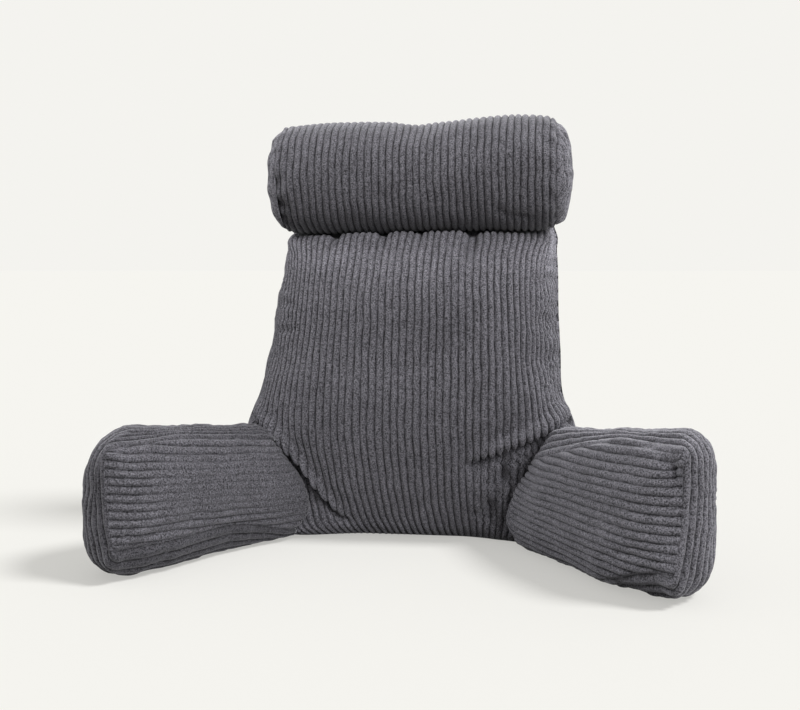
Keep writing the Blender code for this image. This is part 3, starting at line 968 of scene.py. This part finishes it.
def draw_in(arm, tree, skin):
    """Pull a skin towards the arm's middle line round the seam where the arm meets the back."""
    near = skin[spread(skin.shape[0] - 1, 67)][:, spread(skin.shape[1] - 1, 14)]
    clear = signed_clearance(tree, near.reshape(-1, 3)).reshape(near.shape[:2])
    pull = resize_grid(arm.root_pull * root_pull(clear)[..., None], *skin.shape[:2])

    def spot(along, across):
        return arm_place(arm, np.array(along), np.array(across), np.array(ARM_MIDDLE))

    start = spot(0.0, 0.0)
    ahead = unit(spot(ARM_LENGTH, 0.0) - start)
    inner_way = unit(spot(ARM_LENGTH, -0.01) - spot(ARM_LENGTH, 0.0))
    middle = start + ahead * ((skin - start) @ ahead)[..., None]
    towards = unit(middle - skin)
    towards[..., 2] *= smoothstep(0.0, 0.03, skin[..., 2])
    inner = smoothstep(0.010, 0.034, (skin - middle) @ inner_way)
    return skin + towards * pull * (1.0 + INNER_PULL * inner)[..., None]


def signed_clearance(tree, points):
    """How far each point is outside the tree's surface (negative inside)."""
    result = np.empty(len(points))
    for index, point in enumerate(points):
        near, normal, _, _ = tree.find_nearest(Vector(point))
        gap = Vector(point) - near
        result[index] = math.copysign(gap.length, gap.dot(normal))
    return result


def root_of(tree, line):
    """Where a line of points, end first and root last, meets the back: a fractional point number."""
    inside = np.nonzero(signed_clearance(tree, line) < ROOT_CLEAR)[0]
    if len(inside) == 0:
        return len(line) - 1.0
    if inside[0] == 0:
        return 0.0
    low = inside[0] - 1.0
    high = float(inside[0])
    for _ in range(7):
        middle = 0.5 * (low + high)
        whole = int(middle)
        point = line[whole] + (line[whole + 1] - line[whole]) * (middle - whole)
        if signed_clearance(tree, [point])[0] < ROOT_CLEAR:
            high = middle
        else:
            low = middle
    return low


def find_roots(tree, skin, start, stop, place, columns):
    """The row, on the way from start to stop, where each column of a skin meets the back.

    Place gives where a column runs at some rows.
    """
    coarse = np.linspace(start, stop, ROOT_STEPS)
    roots = []
    for column in columns:
        line = pick(skin, coarse, place(coarse, column))
        roots.append(np.interp(root_of(tree, line), range(ROOT_STEPS), coarse))
    return np.array(roots)


def panel_points(arm, skin, outward, wales, tree, seed, creases):
    """A panel's fine grid, rows from the root to the end and columns along the wales; and how strongly its
    grooves get painted shade, less where the pile is flattened.
    """
    last_row = skin.shape[0] - 1
    last_column = skin.shape[1] - 1
    metres = lengths_along(skin, 0)
    out_of = grid_normals(skin)
    if np.mean(out_of @ outward) < 0:
        out_of = -out_of

    def straight(row, column):
        return 0 * row + column

    # where it is sewn to the back the panel is drawn in, round its root
    tries = np.linspace(0, last_column, 21)
    start = pick(metres[..., None], find_roots(tree, skin, last_row, 0, straight, tries), tries)[..., 0]
    start = np.interp(range(last_column + 1), tries, start)
    run = lengths_along(skin, 1)
    inside_seams = smoothstep(0.0, 0.020, np.minimum(run, run[:, -1:] - run))
    tuck = ROOT_TUCK * arm.root_pull * root_pull(metres - start) * inside_seams
    skin = skin - out_of * tuck[..., None]

    reference = along_table(ARM_WALES[arm.side], 1, PANEL_ALONG)
    pitch = along_table(ARM_WALES[arm.side], 2, PANEL_ALONG)
    run = lengths_along(skin, 1)
    width = run[:, -1]
    middle = np.array([np.interp(height, *pair) for height, *pair in zip(reference, skin[..., 2], run)])
    metres_middle = metres[:, last_column // 2]

    def wale_column(row, wale):
        along = at_rows(metres_middle, row)
        wander = 0.0011 * noise(along / 0.05, wale * 0.22, seed + 5)
        wander = wander + 0.0004 * noise(along / 0.014, wale * 0.6, seed + 6)
        place = at_rows(middle, row) + wale * at_rows(pitch, row) + wander
        return np.clip(place / at_rows(width, row), 0.0, 1.0) * last_column

    roots = find_roots(tree, skin, last_row, 0, wale_column, wales)
    for _ in range(3):
        roots = soften(roots, 0)
    steps = np.linspace(0.0, 1.0, ARM_ROWS)[:, None]
    low_rows, high_rows = [root + (last_row - root) * steps
                           for root in find_roots(tree, skin, last_row, 0, straight, (0.0, last_column))]
    rows = roots + (last_row - roots) * steps
    columns = wale_column(rows, wales)
    low = columns <= 0
    high = columns >= last_column
    rows = np.where(low, low_rows, np.where(high, high_rows, rows))
    base = pick(skin, rows, columns)
    lengths = at_rows(width, rows)
    along = pick(metres[..., None], rows, columns)[..., 0]
    to_end = pick(metres[..., None], np.full(rows.shape, last_row), columns)[..., 0] - along
    to_root = along - along[:1]
    share = columns / last_column
    from_edge = np.minimum(np.minimum(share, 1 - share) * lengths, to_end)
    stand = smoothstep(0.0, 0.0026, from_edge) * (0.35 + 0.65 * smoothstep(0.0, 0.006, to_root))
    worn = 1.0 - arm.flattened * smoothstep(0.02, 0.10, to_end) * smoothstep(0.005, 0.035, from_edge)
    ribs = wale_height(wales) * (1 + 0.22 * noise(along / 0.03, wales * 0.4, seed))
    swell = 0.0012 * noise(along / 0.045, share * lengths / 0.045, seed + 1)
    bite = PANEL_BITE * bell(from_edge, PANEL_BITE_REACH) + ROOT_BITE * bell(to_root, ROOT_BITE_REACH)
    offset = stand * ((ribs - WALE_SINK) * worn + swell) - bite
    for from_end, height, reach, tall, deep, slope in creases:
        up = base[..., 2] - height - slope * (to_end - from_end)
        offset = offset - deep * bell(to_end - from_end, reach) * bell(up, tall)
    points = base + pick(out_of, rows, columns) * offset[..., None]
    onto_line(points, low, points[:, 0].copy())
    onto_line(points, high, points[:, -1].copy())
    above_floor(points)
    # how strongly the grooves get painted shade: less where the pile is worn flat, and changing at random
    return points, np.clip(worn + 0.12 * noise(along / 0.02, wales * 0.5, seed + 7), 0.0, 1.0)


def merge_rows(grid):
    """Rows that start and end where the first or the last row does become that row."""
    for row in range(len(grid)):
        for edge in (0, -1):
            if np.allclose(grid[row, 0], grid[edge, 0]) and np.allclose(grid[row, -1], grid[edge, -1]):
                grid[row] = grid[edge]


def build_arm(arm, materials, back_tree):
    strip, inner, outer = [draw_in(arm, back_tree, skin) for skin in fill_arm(arm, *arm_skins(arm))]
    wales = wale_columns(-14, 14)
    outward = unit((outer - inner).mean(axis=(0, 1)))
    # each panel also gives how strongly its grooves get painted shade
    inner_points, inner_painted_groove_shade = panel_points(arm, inner, -outward, wales, back_tree, 20,
                                            INNER_CREASES[arm.side])
    outer_points, outer_painted_groove_shade = panel_points(arm, outer, outward, wales, back_tree, 21, ())
    strip_out = grid_normals(strip)
    if np.mean(np.sum(strip_out * (strip - strip.mean(axis=(0, 1))), axis=-1)) < 0:
        strip_out = -strip_out
    last_step = len(ACROSS) - 1
    shares = np.linspace(0.0, 1.0, BED_STEPS + 1)

    def bed(points_in, points_out):
        """Rows of bed between matching seam points, let in below the strip."""
        first = nearest_path(points_in, strip[:, 0])[:, None]
        last = nearest_path(points_out, strip[:, -1])[:, None]
        path = first + (last - first) * shares
        across = shares * last_step + 0 * path
        result = pick(strip, path, across) - pick(strip_out, path, across) * CLOTH_BED
        result[:, 0] = points_in
        result[:, -1] = points_out
        above_floor(result)
        return result

    top_bed = bed(inner_points[:, -1], outer_points[:, -1])
    low_bed = bed(inner_points[:, 0], outer_points[:, 0])
    end_bed = bed(inner_points[-1], outer_points[-1])
    end_bed[0] = low_bed[-1]
    end_bed[-1] = top_bed[-1]
    merge_rows(end_bed)

    # the root: a face that follows the back
    root = inner_points[0][:, None] + (outer_points[0] - inner_points[0])[:, None] * shares[:, None]
    root[0] = low_bed[0]
    root[-1] = top_bed[0]
    heading = math.radians(arm.heading)
    ahead = Vector((arm.mirror * math.cos(heading), math.sin(heading), 0.0))
    for row in range(1, len(root) - 1):
        for step in range(1, BED_STEPS):
            hit, _, _, _ = back_tree.ray_cast(Vector(root[row, step]) + ahead * 0.20, -ahead, 0.30)
            if hit is not None:
                root[row, step] = hit + ahead * ROOT_CLEAR
    merge_rows(root)
    patches = [(inner_points, wales, inner_painted_groove_shade), (outer_points, wales, outer_painted_groove_shade)]
    patches += [(grid, 0.5, 1.0) for grid in (top_bed, low_bed, end_bed, root)]
    piece = make_piece(arm.side + "_arm_cushion", patches, materials[arm.side + "_arm"])
    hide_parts("arm_" + arm.side)

    # the boxing strip: a shell lying in the bed, its wales evenly apart over the cloth
    wales = wale_columns(0, STRIP_WALES)
    share = (STRIP_MARGIN + (STRIP_WIDTH - 2 * STRIP_MARGIN) * wales / STRIP_WALES) / STRIP_WIDTH
    across = np.array([np.interp(share * run[-1], run, range(last_step + 1))
                       for run in lengths_along(strip, 1)])
    numbers = range(len(wales))

    def strip_column(row, number):
        return at_rows(across[:, number], row)

    half_way = (len(PATH) - 1) // 2
    low_ends, top_ends = [find_roots(back_tree, strip, half_way, stop, strip_column, numbers)
                          for stop in (0, len(PATH) - 1)]
    rows = low_ends + (top_ends - low_ends) * np.linspace(0.0, 1.0, STRIP_ROWS)[:, None]
    columns = np.stack([strip_column(rows[:, number], number) for number in numbers], axis=1)
    base = pick(strip, rows, columns)
    out = pick(strip_out, rows, columns)
    metres = pick(lengths_along(strip, 0)[..., None], rows, columns)[..., 0]
    stand = smoothstep(0.0, 0.0024, np.minimum(columns, last_step - columns) / last_step * STRIP_WIDTH)
    underneath = smoothstep(0.5, 0.95, -out[..., 2]) * (1.0 - smoothstep(0.0015, 0.005, base[..., 2]))
    ribs = wale_height(wales) * (1 + 0.2 * noise(metres / 0.03, wales * 0.4, 31))
    swell = 0.0013 * noise(metres / 0.022, columns / 12, 33)
    swell = swell + 0.0007 * noise(metres / 0.007, columns / 5, 34)
    offset = stand * (ribs - WALE_SINK + swell) - 0.0009 * (1 - stand)
    offset = offset * (1 - underneath) - 0.0004 * underneath
    outside = base + out * offset[..., None]
    inside = base - out * CLOTH
    above_floor(outside)
    above_floor(inside, 0.0012)
    patches = [(outside, wales, 1.0), (inside, wales, 1.0)]
    for side in (0, -1):
        patches.append((np.stack([outside[:, side], inside[:, side]], axis=1), 0.5, 1.0))
        patches.append((np.stack([outside[side], inside[side]], axis=1), 0.5, 1.0))
    band = make_piece(arm.side + "_arm_strip", patches, materials[arm.side + "_strip"])
    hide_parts("arm_strip_" + arm.side)
    return [piece, band]


# ---- neck roll --------------------------------------------------------------------------------
def roll_skin():
    """The roll's smooth skin, rows round it and columns from seam to seam; and where it lies on the back."""
    x = np.linspace(ROLL_RINGS[0][0], ROLL_RINGS[-1][0], ROLL_LAST + 1)
    turn = np.linspace(0.0, math.tau, ROLL_AROUND + 1)[:, None]
    radius, height = roll_surface(x)
    low_turn = np.degrees(turn) - 180.0
    contact = smoothstep(66.0, 84.0, low_turn) * (1.0 - smoothstep(168.0, 180.0, low_turn))
    radius = radius - ROLL_PRESS * contact
    skin = np.stack([x + 0 * turn, radius * np.cos(turn) - ROLL_FORWARD, height + radius * np.sin(turn)],
                    axis=-1)
    skin[-1] = skin[0]
    return skin, contact


def fill_roll(skin, contact):
    """How the cloth simulation moves the roll; the seams and where it lies stay put."""
    rows = spread(ROLL_AROUND, ROLL_CAGE[0])
    cage = skin[rows][:, spread(ROLL_LAST, ROLL_CAGE[1])]
    pin = np.repeat(contact[rows], ROLL_CAGE[1], axis=1)
    pin[:, [0, -1]] = 1.0
    grids = [cage]
    for edge in (0, -1):
        rim = cage[:, edge]
        centre = rim[:-1].mean(axis=0)
        grids.append(np.stack([rim * share + centre * (1 - share) for share in (1.0, 0.6, 0.3, 0.0)]))
    pins = [pin] + [np.ones(grid.shape[:2]) for grid in grids[1:]]
    move = inflate("roll_filling", grids, pins, *FULLNESS["roll"])[0]
    move[0] = move[-1] = 0.5 * (move[0] + move[-1])
    return resize_grid(move, ROLL_AROUND + 1, ROLL_LAST + 1)


def build_roll(materials):
    skin, contact = roll_skin()
    skin = skin + fill_roll(skin, contact)
    low, high = skin[0, [0, -1], 0]
    wales = wale_columns(-ROLL_SIDE_WALES, ROLL_SIDE_WALES)
    rows = np.arange(ROLL_AROUND + 1.0)[:, None]
    columns = (wales + ROLL_SIDE_WALES) / (2 * ROLL_SIDE_WALES) * ROLL_LAST
    base = pick(skin, rows + 0 * columns, columns + 0 * rows)
    x = base[..., 0]
    turn = rows / ROLL_AROUND * math.tau
    to_end = np.minimum(columns, ROLL_LAST - columns) / ROLL_LAST * (high - low)
    stand = smoothstep(0.0, 0.0035, to_end)
    gathers = 0.0017 * np.sin(turn * 15 + 1.3 * np.sin(turn * 3)) * bell(to_end, 0.012)
    ribs = wale_height(wales) * (1 + 0.12 * noise(turn * 4, wales * 0.5, 43))
    swell = 0.0012 * noise(x / 0.05, turn * 8 / math.tau, 41)
    offset = stand * (ribs - WALE_SINK + swell) + gathers
    offset = offset - SEAM_BITE * bell(to_end, SEAM_BITE_REACH)
    for place, angle, reach, span, deep, slope in ROLL_DENTS:
        round_it = np.degrees(turn) - angle - slope * (x - place)
        offset = offset - deep * bell(x - place, reach) * bell(round_it, span)
    body = base + np.stack([0 * turn, np.cos(turn), np.sin(turn)], axis=-1) * offset[..., None]
    body[..., 0] += 0.0008 * noise(turn * 5, wales * 0.4, 44) * stand
    body[-1] = body[0]
    patches = [(body, wales, 1.0)]
    discs = []
    for side, way, edge, seam_x in (("left", -1.0, 0, low), ("right", 1.0, -1, high)):
        rim = body[:, edge]
        rim_radius, rim_height = roll_surface(seam_x)
        centre = np.array([seam_x, -ROLL_FORWARD, rim_height])
        rings = [rim]
        inner = 1 - CLOTH_BED / rim_radius
        for angle in RING_TURNS:
            ring = centre + (rim - centre) * np.array([0, 1, 1]) * math.cos(angle) * inner
            rings.append(ring + np.array([way * (DISC_DOMES[side] * math.sin(angle) - CLOTH_BED), 0, 0]))
        patches.append((np.array(rings), 0.5, 1.0))
        discs.append((side, way, centre, rim_radius - DISC_MARGIN))
    piece = make_piece("neck_roll_cover", patches, materials["roll"])
    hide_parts("neck_roll")
    return [piece] + [build_disc(*disc, materials["roll_end"]) for disc in discs]


def build_disc(side, way, centre, radius, material):
    wales = wale_columns(-DISC_SIDE_WALES, DISC_SIDE_WALES)
    across = wales / DISC_SIDE_WALES * radius
    half = np.sqrt(np.maximum(radius ** 2 - across ** 2, 0.0))
    z = np.linspace(-1.0, 1.0, DISC_ROWS)[:, None] * half
    loose = smoothstep(0.0, 0.012, radius - np.hypot(across, z))
    y = across + DISC_ZIGZAG * loose * noise(z / 0.0080, across / 0.03, 55)
    share = np.clip(np.hypot(y, z) / radius, 0, 1)
    dome = DISC_DOMES[side] * np.sqrt(1 - share ** 2)
    to_rim = (1 - share) * radius
    stand = smoothstep(0.0, 0.006, to_rim)
    puckers = 0.0016 * np.sin(np.arctan2(z, y) * 9 + 2) * bell(to_rim, 0.018) * stand
    swell = 0.0014 * noise(y / 0.018 + 9, z / 0.018, 51) + puckers
    offset = stand * (1.8 * (wale_height(wales) - WALE_SINK) + swell) - SEAM_SINK * (1 - stand)
    outside = centre + np.stack([way * (dome + offset), y, z], axis=-1)
    inner = 1 - CLOTH / radius
    inside = centre + np.stack([way * (dome - CLOTH), y * inner, z * inner], axis=-1)
    patches = [(outside, wales, 1.0), (inside, wales, 1.0)]
    patches += [(np.stack([outside[row], inside[row]], axis=1), 0.5, 1.0) for row in (0, -1)]
    piece = make_piece(side + "_roll_end", patches, material)
    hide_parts("roll_end_" + side)
    return piece


# ---- materials --------------------------------------------------------------------------------
def add(tree, kind, inputs=(), **settings):
    """A node with its settings; an input's value may be another node's output."""
    node = tree.nodes.new(kind)
    for name, value in settings.items():
        setattr(node, name, value)
    set_inputs(tree, node, inputs)
    return node


def set_inputs(tree, node, inputs):
    for name, value in dict(inputs).items():
        if isinstance(value, bpy.types.NodeSocket):
            tree.links.new(value, node.inputs[name])
        else:
            node.inputs[name].default_value = value


def group_of(name, inputs, outputs):
    group = bpy.data.node_groups.new(name, "ShaderNodeTree")
    for label, kind, value in inputs:
        socket = group.interface.new_socket(name=label, in_out="INPUT", socket_type=kind)
        socket.default_value = value
    for label in outputs:
        group.interface.new_socket(name=label, in_out="OUTPUT", socket_type="NodeSocketFloat")
    return group, group.nodes.new("NodeGroupInput"), group.nodes.new("NodeGroupOutput")


def calculate(tree, operation, *values):
    return add(tree, "ShaderNodeMath", enumerate(values), operation=operation).outputs[0]


def mapped(tree, value, low, high, to_low, to_high, **settings):
    inputs = {"Value": value, "From Min": low, "From Max": high, "To Min": to_low, "To Max": to_high}
    return add(tree, "ShaderNodeMapRange", inputs, **settings).outputs["Result"]


def wale_groove_group():
    """From a wale number: 0 in the groove to 1 on the crest; it places the painted shade of the grooves."""
    inputs = (("Wales", "NodeSocketFloat", 0.0), ("Strength", "NodeSocketFloat", 1.0),
              ("Open", "NodeSocketFloat", 1.0))
    group, inlet, outlet = group_of("wale_groove", inputs, ("Crest",))
    part = calculate(group, "FRACT", inlet.outputs["Wales"])
    centred = calculate(group, "ABSOLUTE", calculate(group, "MULTIPLY_ADD", part, 2.0, -1.0))
    power = calculate(group, "POWER", centred, 4.0)
    groove = calculate(group, "MULTIPLY", power, inlet.outputs["Strength"])
    groove = calculate(group, "MULTIPLY", groove, inlet.outputs["Open"])
    # where the pile is flattened the grooves get less painted shade, and the crest gets a share of it instead
    worn = calculate(group, "SUBTRACT", 1.0, inlet.outputs["Strength"])
    worn = calculate(group, "MULTIPLY", worn, PAINTED_GROOVE_SHADE)
    crest = calculate(group, "SUBTRACT", calculate(group, "SUBTRACT", 1.0, groove), worn)
    set_inputs(group, outlet, {"Crest": crest})
    return group


def pile_group():
    """Short upright fibres: a speckle of light and dark tips, and slow changes of nap."""
    group, inlet, outlet = group_of("pile", (("Place", "NodeSocketVector", (0, 0, 0)),), ("Speckle", "Nap"))
    place = {"Vector": inlet.outputs["Place"], "Detail": 3.0}
    fine = add(group, "ShaderNodeTexNoise", {**place, "Scale": PILE_SCALE, "Roughness": 0.65})
    slow = add(group, "ShaderNodeTexNoise", {**place, "Scale": NAP_SCALE})
    set_inputs(group, outlet, {"Speckle": fine.outputs["Fac"], "Nap": slow.outputs["Fac"]})
    return group


def corduroy(name, painted_light, groups):
    """Corduroy with painted shade in its grooves; its colour is also multiplied by painted light and shade
    that change with height, given as heights and shades.
    """
    material = bpy.data.materials.new(name)
    material.use_nodes = True
    tree = material.node_tree
    place = add(tree, "ShaderNodeTexCoord").outputs["Object"]
    marks = add(tree, "ShaderNodeUVMap", uv_map="wales")
    split = add(tree, "ShaderNodeSeparateXYZ", {0: marks.outputs["UV"]})
    # places where the pile closes over a groove, so that the groove gets less painted shade
    broken = add(tree, "ShaderNodeTexNoise", {"Vector": place, "Scale": BRIDGE_SCALE, "Detail": 2.0})
    bridged = mapped(tree, broken.outputs["Fac"], 0.39, 0.53, 0.30, 1.0)
    marked = {"Wales": split.outputs["X"], "Strength": split.outputs["Y"], "Open": bridged}
    groove = add(tree, "ShaderNodeGroup", marked, node_tree=groups["groove"])
    pile = add(tree, "ShaderNodeGroup", {"Place": place}, node_tree=groups["pile"])
    # painted shade in the grooves: the colour falls to the groove shade there
    crest = mapped(tree, groove.outputs["Crest"], 0.0, 1.0, PAINTED_GROOVE_SHADE, 1.0, clamp=False)
    speckle = mapped(tree, pile.outputs["Speckle"], 0.36, 0.64, *SPECKLE_SHADES)
    nap = mapped(tree, pile.outputs["Nap"], 0.25, 0.75, *NAP_SHADES)
    strength = calculate(tree, "MULTIPLY", crest, calculate(tree, "MULTIPLY", speckle, nap))
    # painted light and shade that change with height, stepping smoothly from one listed height to the next
    for (low, first), (high, second) in zip(painted_light, painted_light[1:]):
        up = add(tree, "ShaderNodeSeparateXYZ", {0: place}).outputs["Z"]
        step = mapped(tree, up, low + HOME[2], high + HOME[2], 1.0, second / first,
                      interpolation_type="SMOOTHSTEP")
        strength = calculate(tree, "MULTIPLY", strength, step)
    # the colour itself carries the painted light and shade listed for the lowest height
    cloth = [part * painted_light[0][1] for part in CLOTH_COLOUR]
    colour = add(tree, "ShaderNodeVectorMath", {0: cloth, "Scale": strength}, operation="SCALE")
    tips = {"Strength": 0.45, "Distance": 0.0008, "Height": pile.outputs["Speckle"]}
    bump = add(tree, "ShaderNodeBump", tips)
    set_inputs(tree, tree.nodes["Principled BSDF"], {
        "Base Color": colour.outputs[0],
        "Roughness": 0.95,
        "Specular IOR Level": 0.15,
        "Sheen Weight": 0.30,
        "Sheen Roughness": 0.45,
        "Sheen Tint": (0.80, 0.80, 0.85, 1.0),
        "Normal": bump.outputs["Normal"],
    })
    return material


# ---- floor, light, camera ---------------------------------------------------------------------
def seen_or_light(tree, light, seen):
    """One strength where the camera looks straight at it, another where it lights the pillow."""
    path = add(tree, "ShaderNodeLightPath")
    return mapped(tree, path.outputs["Is Camera Ray"], 0.0, 1.0, light, seen)


def build_floor():
    bpy.ops.object.select_all(action="DESELECT")
    bpy.ops.mesh.primitive_plane_add(size=FLOOR_SIZE, location=(0.0, FLOOR_BEHIND, CAD_LOW.z - 0.0001))
    bpy.ops.object.transform_apply()
    floor = bpy.context.object
    floor.name = "floor"
    material = bpy.data.materials.new("pale_floor")
    material.use_nodes = True
    tree = material.node_tree
    set_inputs(tree, tree.nodes["Principled BSDF"], {
        "Base Color": (0.50, 0.496, 0.477, 1.0),
        "Roughness": 1.0,
        "Specular IOR Level": 0.0,
        "Emission Color": PALE,
        "Emission Strength": seen_or_light(tree, FLOOR_LIGHT, FLOOR_GLOW),
    })
    floor.data.materials.append(material)
    return floor


def build_lights(lit):
    """The studio's surroundings and its soft suns; lit gives what each sun may light."""
    world = bpy.data.worlds.new("studio")
    world.use_nodes = True
    tree = world.node_tree
    strength = seen_or_light(tree, WORLD_LIGHT, 1.0)
    set_inputs(tree, tree.nodes["Background"], {"Color": PALE, "Strength": strength})
    bpy.context.scene.world = world
    receivers = {}
    for name, pieces in lit.items():
        receivers[name] = bpy.data.collections.new("lit_" + name)
        for piece in pieces:
            receivers[name].objects.link(piece)
    for name, around, height, strength, softness, target in SUNS:
        around = math.radians(around)
        height = math.radians(height)
        level = math.cos(height)
        towards = Vector((math.sin(around) * level, -math.cos(around) * level, math.sin(height)))
        light = bpy.data.lights.new(name, "SUN")
        light.energy = strength
        light.angle = math.radians(softness)
        lamp = bpy.data.objects.new(name, light)
        lamp.rotation_euler = (-towards).to_track_quat("-Z", "Y").to_euler()
        lamp.light_linking.receiver_collection = receivers[target]
        bpy.context.collection.objects.link(lamp)


def build_camera():
    view = bpy.context.scene.view_settings
    view.view_transform = "Standard"
    view.look = "None"
    camera = bpy.data.cameras.new("camera")
    camera.lens = CAMERA_LENS
    camera.sensor_width = 36.0
    eye = bpy.data.objects.new("camera", camera)
    eye.location = Vector(CAMERA_AT) + Vector(HOME)
    eye.rotation_euler = [math.radians(angle) for angle in CAMERA_TURN]
    bpy.context.collection.objects.link(eye)
    bpy.context.scene.camera = eye


def main():
    floor = build_floor()
    groups = {"groove": wale_groove_group(), "pile": pile_group()}
    materials = {cloth: corduroy(cloth + "_corduroy", painted_light, groups) for cloth, painted_light in PAINTED_LIGHT.items()}
    back, back_tree = build_back(materials["back"])
    pieces = [back] + build_roll(materials)
    for arm in ARMS:
        pieces += build_arm(arm, materials, back_tree)
    build_lights({"pillow": pieces, "floor": [floor]})
    build_camera()


main()
